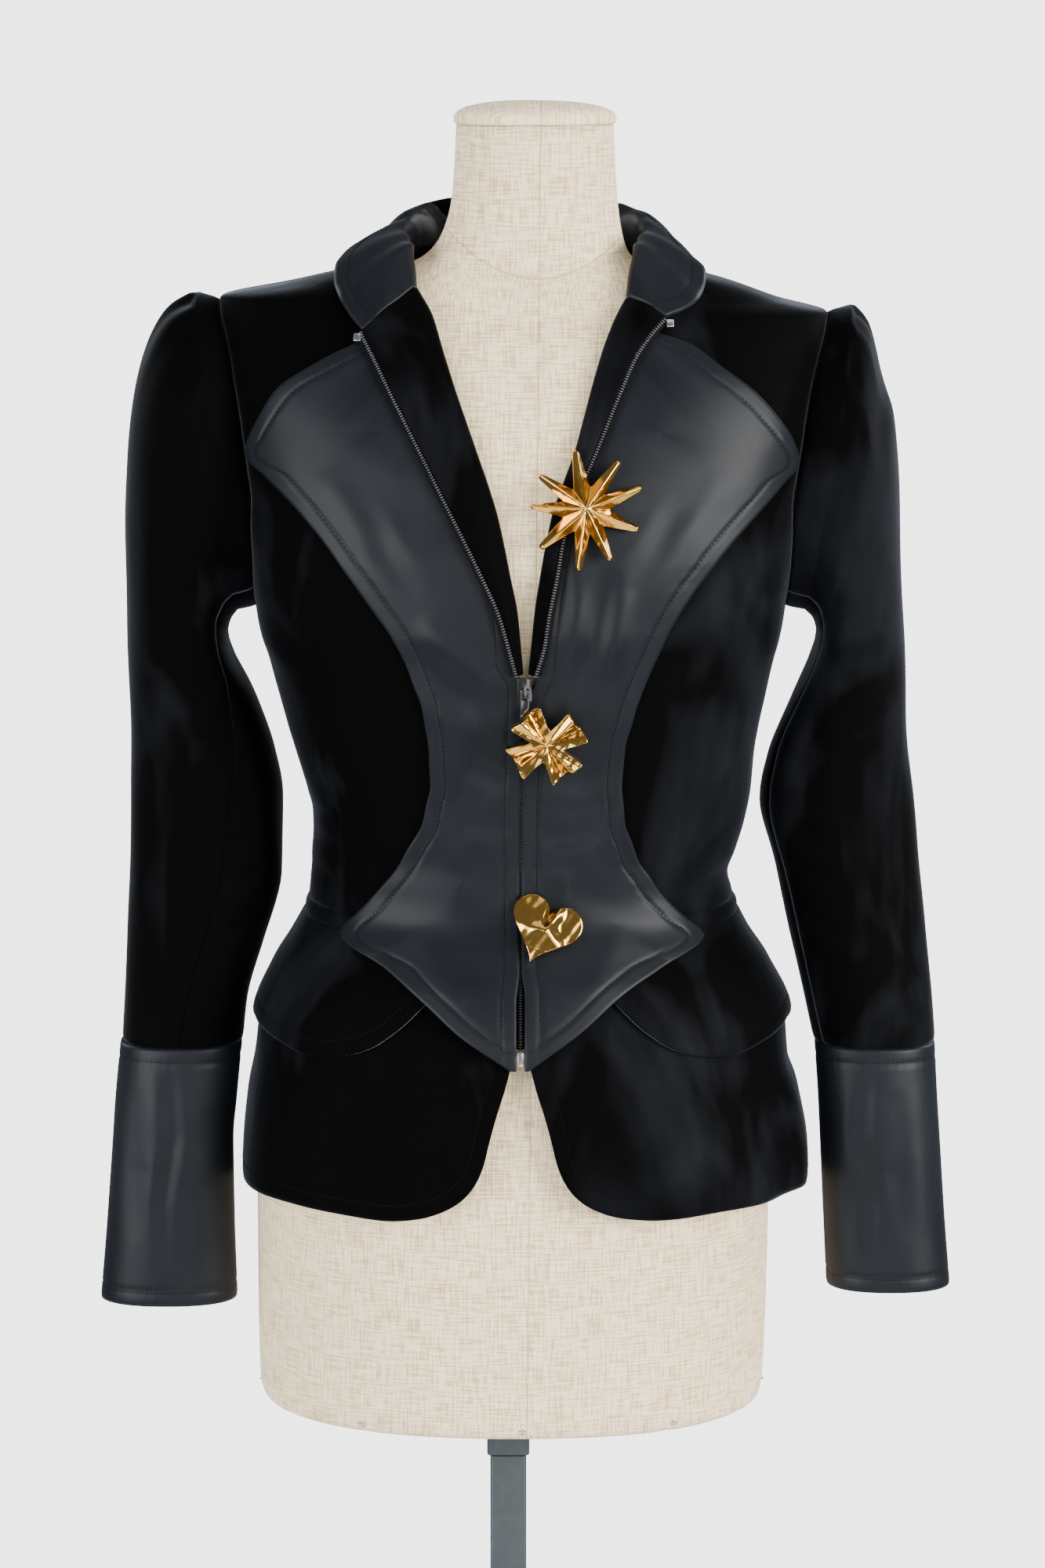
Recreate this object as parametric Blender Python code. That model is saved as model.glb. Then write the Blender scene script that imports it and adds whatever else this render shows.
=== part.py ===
import math

import bpy
import numpy as np

# Driving dimensions, in millimetres. X is toward the wearer's left, Y is toward the back, Z is up.
MM = 0.001
WALL = 2.0
SEAM = 0.3
TAPE_WALL = 1.2
SATIN_WALL = 1.8
CROWD = 0.75
CENTRE_LOW = 2.0
CENTRE_HIGH = 5.0
WAIST = 1030.0
BAND_BOTTOM = 1022.0
TIER_TOP = 1021.5
UPPER_HEM = 943.0
ARMPIT = 1215.0
NECK_POINT = 1439.0
NECK_BACK = 1444.0
FORM_CLEAR = 5.1
LINING_WALL = 1.6
FOLD_INSET = 6.0
NECK_ROOM = 4.5
COLLAR_WALL = 1.6

# The jacket's outside below the overlays: half-widths to each side, depths to front and back.
BODY = {
    "columns": ("height", "right", "left", "front", "back", "power"),
    "rows": (
        (840, 178, 185, 140, 150, 2.3),
        (865, 177, 187, 139, 149, 2.3),
        (905, 173, 181, 137, 147, 2.3),
        (926, 170, 175, 135, 144, 2.3),
        (955, 168, 174, 131, 139, 2.3),
        (985, 156, 161, 121, 122, 2.3),
        (1008, 143, 147, 109, 104, 2.3),
        (1030, 134, 138, 100, 90, 2.3),
        (1045, 132, 134, 99, 86, 2.3),
        (1060, 131, 139, 99, 85, 2.3),
        (1080, 130, 145, 101, 85, 2.35),
        (1100, 134, 149, 104, 86, 2.35),
        (1125, 141, 151, 108, 88, 2.4),
        (1160, 151, 158, 114, 92, 2.4),
        (1193, 160, 165, 118, 97, 2.45),
        (1215, 165, 169, 120, 100, 2.5),
        (1250, 170, 176, 119, 103, 2.6),
        (1290, 174, 181, 111, 104, 2.7),
        (1330, 180, 187, 99, 101, 2.8),
        (1360, 184, 191, 87, 95, 2.8),
        (1385, 186, 194, 73, 86, 2.8),
        (1400, 187, 195, 64, 78, 2.7),
        (1410, 186, 163, 58, 72, 2.6),
        (1420, 141, 135, 54, 67, 2.6),
        (1428, 107, 107, 51, 63, 2.5),
        (1440, 68, 77, 47, 60, 2.4),
        (1446, 50, 62, 45, 59, 2.3),
    ),
}

# The form below the chest, and its neck.
FORM_LOWER = {
    "columns": ("height", "right", "left", "front", "back", "power"),
    "rows": (
        (700, 158, 152, 108, 112, 2.3),
        (703, 164, 157, 112, 116, 2.3),
        (712, 167, 159, 115, 120, 2.3),
        (760, 168, 161, 118, 124, 2.3),
        (830, 168, 162, 122, 131, 2.3),
        (900, 164, 161, 122, 134, 2.3),
        (960, 153, 154, 114, 118, 2.3),
        (1000, 134, 136, 96, 93, 2.3),
        (1030, 124, 128, 89, 78, 2.3),
        (1060, 123, 130, 90, 76, 2.3),
        (1100, 125, 140, 95, 78, 2.35),
        (1160, 142, 149, 106, 84, 2.4),
        (1210, 157, 161, 113, 93, 2.5),
    ),
}
NECK = {
    "columns": ("height", "right", "left", "front", "back", "power"),
    "rows": (
        (1429, 72, 84, 43, 54, 2.3),
        (1436, 58, 71, 42, 53, 2.2),
        (1448, 48, 66, 41, 52, 2.1),
        (1472, 41, 62.5, 39, 49, 2.0),
        (1517, 38, 60, 38, 48, 2.0),
    ),
}

# Where each piece lies over or under the body surface, by height.
LIFT = {
    "columns": ("height", "plastron", "upper", "lower"),
    "rows": (
        (840, 5.2, 2.0, 0.0),
        (900, 5.2, 2.0, 0.0),
        (955, 5.2, 2.0, -2.6),
        (990, 5.0, 1.6, -3.2),
        (1005, 4.4, 0.9, -3.2),
        (1022, 3.4, 0.0, -3.2),
        (1040, 2.9, 0.0, -3.2),
        (1250, 2.9, 0.0, -3.2),
        (1310, 3.5, 0.0, -3.2),
        (1440, 3.5, 0.0, -3.2),
    ),
}

# Folded edge and free edge of each lapel, from just above the slider up to the collar seam.
LAPEL_RIGHT = {
    "columns": ("fold_x", "fold_z", "free_x", "free_z"),
    "rows": (
        (2.0, 1206, -4, 1206),
        (0.2, 1228, -10, 1227),
        (-3.6, 1247, -18, 1245),
        (-11.7, 1285, -38, 1284),
        (-24.1, 1322, -57, 1321),
        (-37.1, 1358, -76, 1357),
        (-45.5, 1383, -85, 1374),
        (-52.0, 1403, -91, 1385),
        (-61.5, 1419, -94, 1391),
    ),
}
LAPEL_LEFT = {
    "columns": ("fold_x", "fold_z", "free_x", "free_z"),
    "rows": (
        (9.0, 1206, 15, 1206),
        (10.6, 1228, 18, 1227),
        (13.5, 1247, 22, 1246),
        (21.0, 1285, 29.5, 1284),
        (34.5, 1322, 46, 1321),
        (44.6, 1358, 61, 1356),
        (52.4, 1383, 72, 1378),
        (60.4, 1402, 82, 1391),
        (66.8, 1413, 90, 1399),
    ),
}

# Outer edge of each plastron, signed distance from the centre plane by height.
PLASTRON_RIGHT = {
    "columns": ("height", "edge"),
    "rows": (
        (944, 4), (951, 15), (963, 34), (983, 58), (1001, 82), (1018, 109),
        (1038, 93), (1061, 75), (1093, 58), (1118, 53), (1143, 54), (1168, 58),
        (1195, 68), (1212, 77), (1240, 97), (1267, 117), (1291, 138), (1305, 153),
        (1317, 166), (1328, 163), (1341, 157), (1359, 145), (1372, 125), (1380, 110), (1388, 92),
    ),
}
PLASTRON_LEFT = {
    "columns": ("height", "edge"),
    "rows": (
        (944, 7), (951, 17), (966, 39), (987, 65), (1001, 90), (1016, 115),
        (1042, 91), (1067, 75), (1093, 66), (1118, 64), (1143, 66), (1168, 73),
        (1189, 81), (1215, 93), (1237, 107), (1262, 127), (1285, 148), (1301, 163),
        (1311, 172), (1326, 168), (1339, 160), (1357, 144), (1371, 125), (1385, 106), (1391, 88),
    ),
}

# Sleeve and cuff sections from the armhole down. Inner and outer edge as X and Z on the right side.
SLEEVE_RIGHT = {
    "columns": ("inner_x", "inner_z", "outer_x", "outer_z", "depth", "middle_y", "seam"),
    "rows": (
        (177, 1213, 200, 1413, 56, 1, 150),
        (181, 1208, 218, 1403, 60, 2, 149),
        (183, 1203, 232, 1381, 61, 3, 148),
        (184, 1197, 241, 1350, 60, 5, 145),
        (183, 1189, 246, 1311, 58, 7, 142),
        (179, 1178, 248, 1262, 56, 9, 137),
        (168, 1158, 248, 1203, 52, 11, 130),
        (155, 1122, 247, 1136, 47, 11, 120),
        (150, 1090, 247, 1096, 44, 9, 112),
        (151, 1046, 248, 1050, 41, 5, 104),
        (163, 999, 250, 1001, 38, 0, 98),
        (173, 963, 252, 965, 35, -6, 93),
        (176, 936.3, 253.5, 936.3, 33, -10, 90),
    ),
}
SLEEVE_LEFT = {
    "columns": ("inner_x", "inner_z", "outer_x", "outer_z", "depth", "middle_y", "seam"),
    "rows": (
        (182, 1213, 209, 1405, 56, 1, 152),
        (187, 1208, 220, 1393, 60, 2, 152),
        (189, 1203, 229, 1362, 61, 3, 152),
        (190, 1197, 237, 1335, 60, 5, 152),
        (189, 1188, 241, 1297, 58, 7, 152),
        (185, 1176, 242.5, 1255, 56, 9, 152),
        (174, 1152, 246, 1195, 52, 11, 152),
        (160, 1118, 249, 1130, 47, 11, 152),
        (155, 1088, 253, 1094, 44, 9, 152),
        (166, 1046, 257, 1050, 41, 5, 151),
        (176, 999, 262, 1001, 38, 0, 151),
        (184, 963, 266, 965, 35, -6, 150),
        (190, 936.3, 268, 936.3, 33, -10, 150),
    ),
}
CUFF_RIGHT = {
    "columns": ("inner_x", "outer_x", "depth", "middle_y", "height"),
    "rows": (
        (176.5, 254.5, 32, -10, 936),
        (180, 258, 31, -14, 900),
        (182.5, 260, 30, -17, 870),
        (182, 264, 30, -20, 820),
        (180.5, 268.5, 30, -23, 770),
    ),
}
CUFF_LEFT = {
    "columns": ("inner_x", "outer_x", "depth", "middle_y", "height"),
    "rows": (
        (190.5, 267.5, 32, -10, 936),
        (193, 269.5, 31, -14, 900),
        (194.5, 271.5, 30, -17, 870),
        (197, 275, 30, -20, 820),
        (199, 278.5, 30, -23, 779),
    ),
}
SLEEVE_POWER = 2.15
HEAD_PLEATS = 6
HEAD_PLEAT_DEPTH = 2.4
HEAD_PLEAT_REACH = 95.0

# Hem of the upper tier, and front edge and hem of the lower tier, distance from the centre by height.
UPPER_HEMS = {
    "columns": ("side", "hem"),
    "rows": ((55, 986), (77, 965), (95, 953), (114, 947), (132, 945), (150, 949), (165, 954), (176, 956)),
}
LOWER_HEMS = {
    "columns": ("side", "hem"),
    "rows": (
        (6.4, 944), (9.5, 932), (14, 918), (19, 900), (23, 884), (29, 871), (41, 859),
        (63, 850.5), (90, 848), (126, 849), (150, 850), (170, 850), (186, 850),
    ),
}

# Soft flutes of the lower tier: place round the body in degrees, half-width and depth.
FLUTES = {
    "columns": ("place", "spread", "depth"),
    "rows": (
        (-24, 7, 4), (-62, 12, 3), (-112, 12, 6), (-146, 11, 7), (-168, 8, 4),
        (30, 9, 3), (50, 8, 6), (70, 8, 5), (115, 12, 6), (148, 11, 7), (171, 8, 4),
    ),
}

# Collar sections from the lapel seam to the centre back: turn of the foot, then roll and free edge.
COLLAR_RIGHT = {
    "columns": ("turn", "roll_x", "roll_y", "roll_z", "edge_x", "edge_y", "edge_z"),
    "rows": (
        (50, 65, -38, 1443, 109, -55, 1412),
        (75, 69, -18, 1448, 114, -37, 1428),
        (95, 70, 4, 1452, 105, -9, 1440),
        (118, 64, 29, 1457, 85, 15, 1450),
        (140, 51, 49, 1458, 68, 45, 1462),
        (160, 28, 60, 1460, 38, 66, 1468),
        (177, 5, 63, 1460, 6, 70, 1469),
    ),
}
COLLAR_LEFT = {
    "columns": ("turn", "roll_x", "roll_y", "roll_z", "edge_x", "edge_y", "edge_z"),
    "rows": (
        (50, 72, -38, 1443, 112, -52, 1412),
        (75, 77, -18, 1448, 117, -32, 1426),
        (95, 79, 4, 1452, 108, -7, 1439),
        (118, 73, 29, 1457, 95, 15, 1449),
        (140, 59, 49, 1458, 78, 45, 1461),
        (160, 34, 60, 1460, 44, 66, 1467),
        (177, 9, 63, 1460, 10, 70, 1469),
    ),
}

POLE_SIDE = 23.5
SOCKET_SIDE = 27.5
BASE_RADIUS = 180.0
BASE_HEIGHT = 12.0
SOCKET_BOTTOM = 658.0
FORM_BOTTOM = 700.0
POLE_X = -6.0


def monotone(knots, values, at):
    knots = np.asarray(knots, float)
    values = np.asarray(values, float)
    step = np.diff(knots)
    slope = np.diff(values) / step
    tangent = np.empty_like(values)
    tangent[0], tangent[-1] = slope[0], slope[-1]
    before, after = slope[:-1], slope[1:]
    same = before * after > 0
    total = np.where(same, before + after, 1.0)
    tangent[1:-1] = np.where(same, 2 * before * after / total, 0.0)
    at = np.clip(np.asarray(at, float), knots[0], knots[-1])
    i = np.clip(np.searchsorted(knots, at) - 1, 0, len(step) - 1)
    t = (at - knots[i]) / step[i]
    return (
        values[i] * (1 + 2 * t) * (1 - t) ** 2
        + values[i + 1] * t * t * (3 - 2 * t)
        + tangent[i] * step[i] * t * (1 - t) ** 2
        - tangent[i + 1] * step[i] * t * t * (1 - t)
    )


def column(table, name):
    k = table["columns"].index(name)
    return np.array([row[k] for row in table["rows"]], float)


def read(table, name, at, by=None):
    return monotone(column(table, by or table["columns"][0]), column(table, name), at)


def along(table, name, share):
    """A column read by its place in the table, 0 at the first row and 1 at the last."""
    values = column(table, name)
    return monotone(np.linspace(0, 1, len(values)), values, share)


def straight(table, name, at):
    """A column joined by straight lines, for outlines with corners."""
    return np.interp(at, column(table, table["columns"][0]), column(table, name))


def surface(table, turn, height):
    """Point on a body of rounded sections. Turn is 0 at the centre front, a quarter turn at the left side."""
    turn = np.asarray(turn, float)
    height = np.asarray(height, float)
    s, c = np.sin(turn), np.cos(turn)
    power = read(table, "power", height)
    reach = (np.abs(s) ** power + np.abs(c) ** power) ** (-1 / power)
    wide = np.where(s < 0, read(table, "right", height), read(table, "left", height))
    deep = np.where(c > 0, read(table, "front", height), read(table, "back", height))
    return np.stack([reach * s * wide, -reach * c * deep, height + 0 * turn], axis=-1)


def outward(table, turn, height):
    a = 0.004
    h = 0.8
    round_way = surface(table, turn + a, height) - surface(table, turn - a, height)
    up_way = surface(table, turn, height + h) - surface(table, turn, height - h)
    n = np.cross(round_way, up_way)
    return n / np.linalg.norm(n, axis=-1, keepdims=True)


def lifted(turn, height, lift):
    lift = np.asarray(lift, float)
    return surface(BODY, turn, height) + outward(BODY, turn, height) * lift[..., None]


def turn_at_x(x, height):
    """Turn on the body's front half at the given X."""
    x = np.asarray(x, float)
    wide = np.where(x < 0, read(BODY, "right", height), read(BODY, "left", height))
    power = read(BODY, "power", height)
    q = np.clip((np.abs(x) / wide) ** power, 0, 0.9995)
    return np.sign(x) * np.arctan((q / (1 - q)) ** (1 / power))


def turn_at_y(y, height, side):
    """Turn on the body at the given Y, on side -1 for the wearer's right or 1 for the left."""
    y = np.asarray(y, float)
    deep = np.where(y < 0, read(BODY, "front", height), read(BODY, "back", height))
    power = read(BODY, "power", height)
    q = np.clip((np.abs(y) / deep) ** power, 1e-9, 0.9995)
    from_front = np.arctan(((1 - q) / q) ** (1 / power))
    return side * np.where(y < 0, from_front, math.pi - from_front)


def normals_of(grid, wrap=False):
    """Unit normals of a grid of points, rows by columns."""
    if wrap:
        across = np.roll(grid, -1, axis=1) - np.roll(grid, 1, axis=1)
    else:
        across = np.gradient(grid, axis=1)
    down = np.gradient(grid, axis=0)
    n = np.cross(across, down)
    return n / np.maximum(np.linalg.norm(n, axis=-1, keepdims=True), 1e-9)


def shorter_second(verts, square):
    """Whether a square's second diagonal is the shorter one."""
    a, b, c, d = (verts[k] for k in square)
    return np.linalg.norm(b - d) < np.linalg.norm(a - c)


def shell(name, outer, inner, slot, wrap=False):
    """A closed cloth wall between two grids of points."""
    rows, cols = outer.shape[:2]
    verts = np.concatenate([outer.reshape(-1, 3), inner.reshape(-1, 3)]) * MM
    half = rows * cols
    faces = []
    last = cols if wrap else cols - 1
    for i in range(rows - 1):
        for j in range(last):
            k = (j + 1) % cols
            square = [i * cols + j, i * cols + k, (i + 1) * cols + k, (i + 1) * cols + j]
            if shorter_second(verts, square):
                square = square[1:] + square[:1]
            a, b, c, d = square
            faces.append((a, b, c, d))
            faces.append((half + a, half + d, half + c, half + b))
    for j in range(last):
        k = (j + 1) % cols
        faces.append((j, half + j, half + k, k))
        base = (rows - 1) * cols
        faces.append((base + j, base + k, half + base + k, half + base + j))
    if not wrap:
        for i in range(rows - 1):
            a, b = i * cols, (i + 1) * cols
            faces.append((a, b, half + b, half + a))
            a, b = a + cols - 1, b + cols - 1
            faces.append((a, half + a, half + b, b))
    return add_mesh(name, verts, faces, slot)


def volume(verts, faces):
    total = 0.0
    for face in faces:
        a = verts[face[0]]
        for j in range(1, len(face) - 1):
            total += np.dot(a, np.cross(verts[face[j]], verts[face[j + 1]]))
    return total / 6


def triangles(faces):
    """Faces cut in triangles from their first corner, so that a bent square has one shape everywhere."""
    return [(face[0], face[k], face[k + 1]) for face in faces for k in range(1, len(face) - 1)]


def add_mesh(name, verts, faces, slot, smooth=True):
    verts = np.asarray(verts, float)
    faces = triangles(faces)
    if volume(verts, faces) < 0:
        faces = [tuple(reversed(face)) for face in faces]
    mesh = bpy.data.meshes.new(name)
    mesh.from_pydata([tuple(v) for v in verts], [], faces)
    mesh.validate()
    mesh.update()
    mesh.polygons.foreach_set("use_smooth", [smooth] * len(mesh.polygons))
    mesh.materials.append(MATERIALS[slot])
    obj = bpy.data.objects.new(name, mesh)
    COLLECTION.objects.link(obj)
    return obj


def panel(name, turn, height, lift, wall, slot):
    """A cloth piece that follows the body, its outside at the given lift."""
    outer = lifted(turn, height, lift + 0 * turn)
    inner = lifted(turn, height, lift - wall + 0 * turn)
    return shell(name, outer, inner, slot)


def height_at_x(turn, x):
    """Height above the shoulder's corner where the body has the given half-width at a turn."""
    low, high = np.full(np.shape(turn), 1411.0), np.full(np.shape(turn), 1446.0)
    for _ in range(24):
        middle = (low + high) / 2
        wider = np.abs(surface(BODY, turn, middle)[..., 0]) > np.abs(x)
        low, high = np.where(wider, middle, low), np.where(wider, high, middle)
    return (low + high) / 2


def centre_x(height):
    return np.interp(height, (1100, 1190), (CENTRE_LOW, CENTRE_HIGH))


def clear_of_body(points, gap):
    """Points moved outward where they are nearer to the body than the gap."""
    points = points.copy()
    for _ in range(4):
        x, y, z = points[..., 0], points[..., 1], points[..., 2]
        wide = np.where(x < 0, read(BODY, "right", z), read(BODY, "left", z))
        deep = np.where(y < 0, read(BODY, "front", z), read(BODY, "back", z))
        turn = np.arctan2(x / wide, -y / deep)
        n = outward(BODY, turn, z)
        off = ((points - surface(BODY, turn, z)) * n).sum(axis=-1)
        points = points + n * np.maximum(gap - off, 0)[..., None]
    return points


def blend_rows(first, last, count, crowd=1.0):
    """Values between two edges, one column for each step across, closer toward the last edge."""
    share = np.linspace(0, 1, count)[None, :] ** crowd
    return first[:, None] * (1 - share) + last[:, None] * share


def side_name(side):
    return "left" if side > 0 else "right"


def lapel_table(side):
    return LAPEL_LEFT if side > 0 else LAPEL_RIGHT


# The armhole, a loop on the body surface that the panels and the sleeve share.
ARMHOLE_DEPTH = 52.0


def shoulder_tip(side):
    return 1409.0 if side < 0 else 1401.0


def armhole(side, angle):
    """Turn and height on the armhole. Angle is 0 at the shoulder tip, 90 degrees at the front, 180 below."""
    tip = shoulder_tip(side)
    angle = np.asarray(angle, float)
    middle = (tip + ARMPIT) / 2
    height = middle + (tip - ARMPIT) / 2 * np.cos(angle)
    y = 2.0 - ARMHOLE_DEPTH * np.sin(angle) * (1 - 0.12 * np.cos(angle))
    return turn_at_y(y, height, side), height


def fold_edge(side, height, inset):
    """X of a front piece's inner edge: straight at the zip, then along the lapel's fold."""
    table = lapel_table(side)
    fold_z = column(table, "fold_z")
    near_top = np.clip((height - fold_z[-1] + 28) / 25, 0, 1)
    fold = monotone(fold_z, column(table, "fold_x"), height) + side * (FOLD_INSET + NECK_ROOM * near_top)
    straight_edge = centre_x(height) + side * inset
    share = np.clip((height - 1186) / (fold_z[0] - 1186), 0, 1)
    return straight_edge * (1 - share) + fold * share


NECK_TURN = 1.665
NECK_SEAM_ROOM = 5.0


def neckline(side, share):
    """Turn and height along the front neckline, from the top of the fold to the neck point."""
    row = lapel_table(side)["rows"][-1]
    start_x = row[0] + side * (FOLD_INSET + NECK_ROOM)
    start = turn_at_x(np.array([start_x]), np.array([row[1] - 3.0]))[0]
    end_x = surface(BODY, side * NECK_TURN, NECK_POINT)[0]
    turn = start + (side * NECK_TURN - start) * share
    aside = side * NECK_SEAM_ROOM * np.sin(math.pi * np.sqrt(share))
    height = height_at_x(turn, start_x + (end_x - start_x) * share + aside)
    return turn, height


def front_panel(side):
    below = np.linspace(WAIST + SEAM, ARMPIT, 10)
    angles = np.linspace(math.pi, 0, 13)[1:]
    side_turn, side_height = armhole(side, angles)
    side_turn[-1] = side * 1.605
    outer_height = np.concatenate([below, side_height])
    outer_turn = np.concatenate([side * (math.pi / 2 - 0.0012) + 0 * below, side_turn])
    top = lapel_table(side)["rows"][-1][1] - 3.0
    fold_height = np.concatenate([below, np.linspace(ARMPIT, top, 8)[1:]])
    fold_turn = turn_at_x(fold_edge(side, fold_height, 6.0), fold_height)
    neck_turn, neck_height = neckline(side, np.linspace(0, 1, 6)[1:])
    inner_turn = np.concatenate([fold_turn, neck_turn])
    inner_height = np.concatenate([fold_height, neck_height])
    turn = blend_rows(inner_turn, outer_turn, 9, CROWD)
    height = blend_rows(inner_height, outer_height, 9, CROWD)
    panel("front_" + side_name(side), turn, height, 0.0, WALL, "velvet")


def back_panel(side):
    below = np.linspace(WAIST + SEAM, ARMPIT, 9)
    angles = np.linspace(-math.pi, 0, 13)[1:]
    side_turn, side_height = armhole(side, angles)
    outer_height = np.concatenate([below, side_height])
    outer_turn = np.concatenate([side * (math.pi / 2 + 0.0012) + 0 * below, side_turn])
    outer_turn[-1] = side * 1.609
    rise = np.linspace(0, 1, len(angles) + 1)[1:]
    inner_height = np.concatenate([below, ARMPIT + (NECK_BACK - ARMPIT) * rise])
    middle = side * (math.pi - 0.0015)
    turn = blend_rows(middle + 0 * outer_turn, outer_turn, 9)
    height = blend_rows(inner_height, outer_height, 9)
    # The top row goes down the neckline to the neck point and then along the shoulder seam.
    share = np.linspace(0, 1, 9)
    neck = side * (NECK_TURN + 0.004)
    turn_top = np.interp(share, (0, 0.4, 1), (middle, neck, side * 1.609))
    height_top = np.interp(share, (0, 0.4, 1), (NECK_BACK, NECK_POINT, outer_height[-1]))
    ease = np.clip((np.arange(len(outer_height)) - 12) / 8.0, 0, 1)[:, None] ** 2
    turn += ease * (turn_top - turn[-1])[None, :]
    height += ease * (height_top - height[-1])[None, :]
    panel("back_" + side_name(side), turn, height, 0.0, WALL, "velvet")


def plastron(side):
    table = PLASTRON_LEFT if side > 0 else PLASTRON_RIGHT
    marks = column(table, "height")
    height = []
    for low, high in zip(marks[:-1], marks[1:]):
        steps = 2 if high - low > 24 else 1
        height.extend(np.linspace(low, high, steps + 1)[:-1])
    height = np.array(height + [marks[-1]])
    edge = side * straight(table, "edge", height)
    gap = np.where(height < 1000, 2.6, 0.6)
    inner = fold_edge(side, height, gap)
    edge = np.where(side * (edge - inner) < 1.5, inner + side * 1.5, edge)
    turn = blend_rows(turn_at_x(inner, height), turn_at_x(edge, height), 8, CROWD)
    grid_height = blend_rows(height, height, 8)
    lift = read(LIFT, "plastron", grid_height)
    panel("plastron_" + side_name(side), turn, grid_height, lift, SATIN_WALL, "satin")


def band(side):
    start = turn_at_x(np.array([CENTRE_LOW + side * 6.4]), np.array([WAIST]))[0]
    turn = np.linspace(start, side * (math.pi - 0.0015), 26)
    turn = np.stack([turn, turn])
    height = np.stack([BAND_BOTTOM + 0 * turn[0], WAIST + 0 * turn[0]])
    panel("waistband_" + side_name(side), turn, height, 0.0, WALL, "velvet")


def flute(turn, height):
    """How far the lower tier swells outward, growing to its hem."""
    grow = np.clip((UPPER_HEM + 12 - height) / 100.0, 0, 1) ** 1.3
    out = 0.0
    for place, spread, depth in FLUTES["rows"]:
        off = (np.degrees(turn) - place + 180) % 360 - 180
        out = out + depth * np.exp(-((off / spread) ** 2))
    return out * grow


def tier(side, name, hems, open_front, rows, columns, lift_name, lift_extra):
    """Half of a peplum tier from the front to the centre back, its hem rounded up at the front."""
    sides = np.concatenate([column(hems, "side")[:-1], [0]])
    hem_values = column(hems, "hem")
    front_turn = turn_at_x(side * sides[:-1] + CENTRE_LOW, hem_values[:-1])
    last = front_turn[-1]
    rest = np.linspace(last, side * (math.pi - 0.0015), columns - len(front_turn) + 1)[1:]
    turns = np.concatenate([front_turn, rest])
    back_hem = hem_values[-1] + 0 * rest
    hem = np.concatenate([hem_values[:-1], back_hem])
    share = np.linspace(0, 1, rows)[:, None]
    height = hem[None, :] * (1 - share) + TIER_TOP * share
    turn = np.tile(turns, (rows, 1))
    if open_front:
        # The front edge stays straight down the centre above the cutaway.
        top_turn = turn_at_x(np.full(len(front_turn), CENTRE_LOW + side * 6.4), np.full(len(front_turn), TIER_TOP))
        spread = np.linspace(0, 1, len(front_turn))
        top = top_turn * (1 - spread) + last * spread
        turn[:, : len(front_turn)] = front_turn * (1 - share) ** 1.0 + top * share
    lift = read(LIFT, lift_name, height) + lift_extra(turn, height)
    panel(name + "_" + side_name(side), turn, height, lift, WALL, "velvet")


def no_extra(turn, height):
    return 0.0 * turn


def peplum(side):
    tier(side, "upper_peplum", UPPER_HEMS, False, 4, 28, "upper", no_extra)
    tier(side, "lower_peplum", LOWER_HEMS, True, 5, 34, "lower", flute)


# Sections of the lapel: how far inside the fold, and the lift, from the inner leg to the free edge.
LAPEL_STEPS = 10
ROLL_ROOM = 0.85
BEND_STEPS = 4


def lapel_section(side, share):
    """Points across the lapel at a share of its length, and the same on its inside."""
    table = lapel_table(side)
    fold_x, fold_z = along(table, "fold_x", share), along(table, "fold_z", share)
    free_x, free_z = along(table, "free_x", share), along(table, "free_z", share)
    width = math.hypot(free_x - fold_x, free_z - fold_z)
    way = ((free_x - fold_x) / width, (free_z - fold_z) / width)
    puff = min(width * 0.10, 3.0)
    top = float(read(LIFT, "plastron", fold_z))
    middle = (top - WALL) / 2
    roll = (top + WALL) / 2 + ROLL_ROOM
    nose = roll + LINING_WALL
    over, under = [], []
    for rank, radius in ((over, nose), (under, roll)):
        for step in range(LAPEL_STEPS):
            if step == 0:
                inset, lift = nose + 4.5, middle - radius
            elif step <= BEND_STEPS + 1:
                bend = math.pi * (step - 1) / BEND_STEPS
                inset = nose - radius * math.sin(bend)
                lift = middle - radius * math.cos(bend)
            else:
                part = (step - BEND_STEPS - 1) / (LAPEL_STEPS - BEND_STEPS - 2)
                inset = nose + max(width - nose, 1.5) * part
                lift = middle + radius + puff * math.sin(math.pi * part * 0.8) + 0.3 * part
            x = fold_x + way[0] * inset
            z = fold_z + way[1] * inset
            turn = turn_at_x(np.array([x]), np.array([z]))
            rank.append(lifted(turn, np.array([z]), np.array([lift]))[0])
    return np.array(over), np.array(under)


def facing(side):
    shares = np.linspace(0, 1, 13)
    pairs = [lapel_section(side, s) for s in shares]
    over = np.array([p[0] for p in pairs])
    under = np.array([p[1] for p in pairs])
    shell("facing_" + side_name(side), over, under, "velvet")


ROLL_PLACE = 0.36


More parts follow.
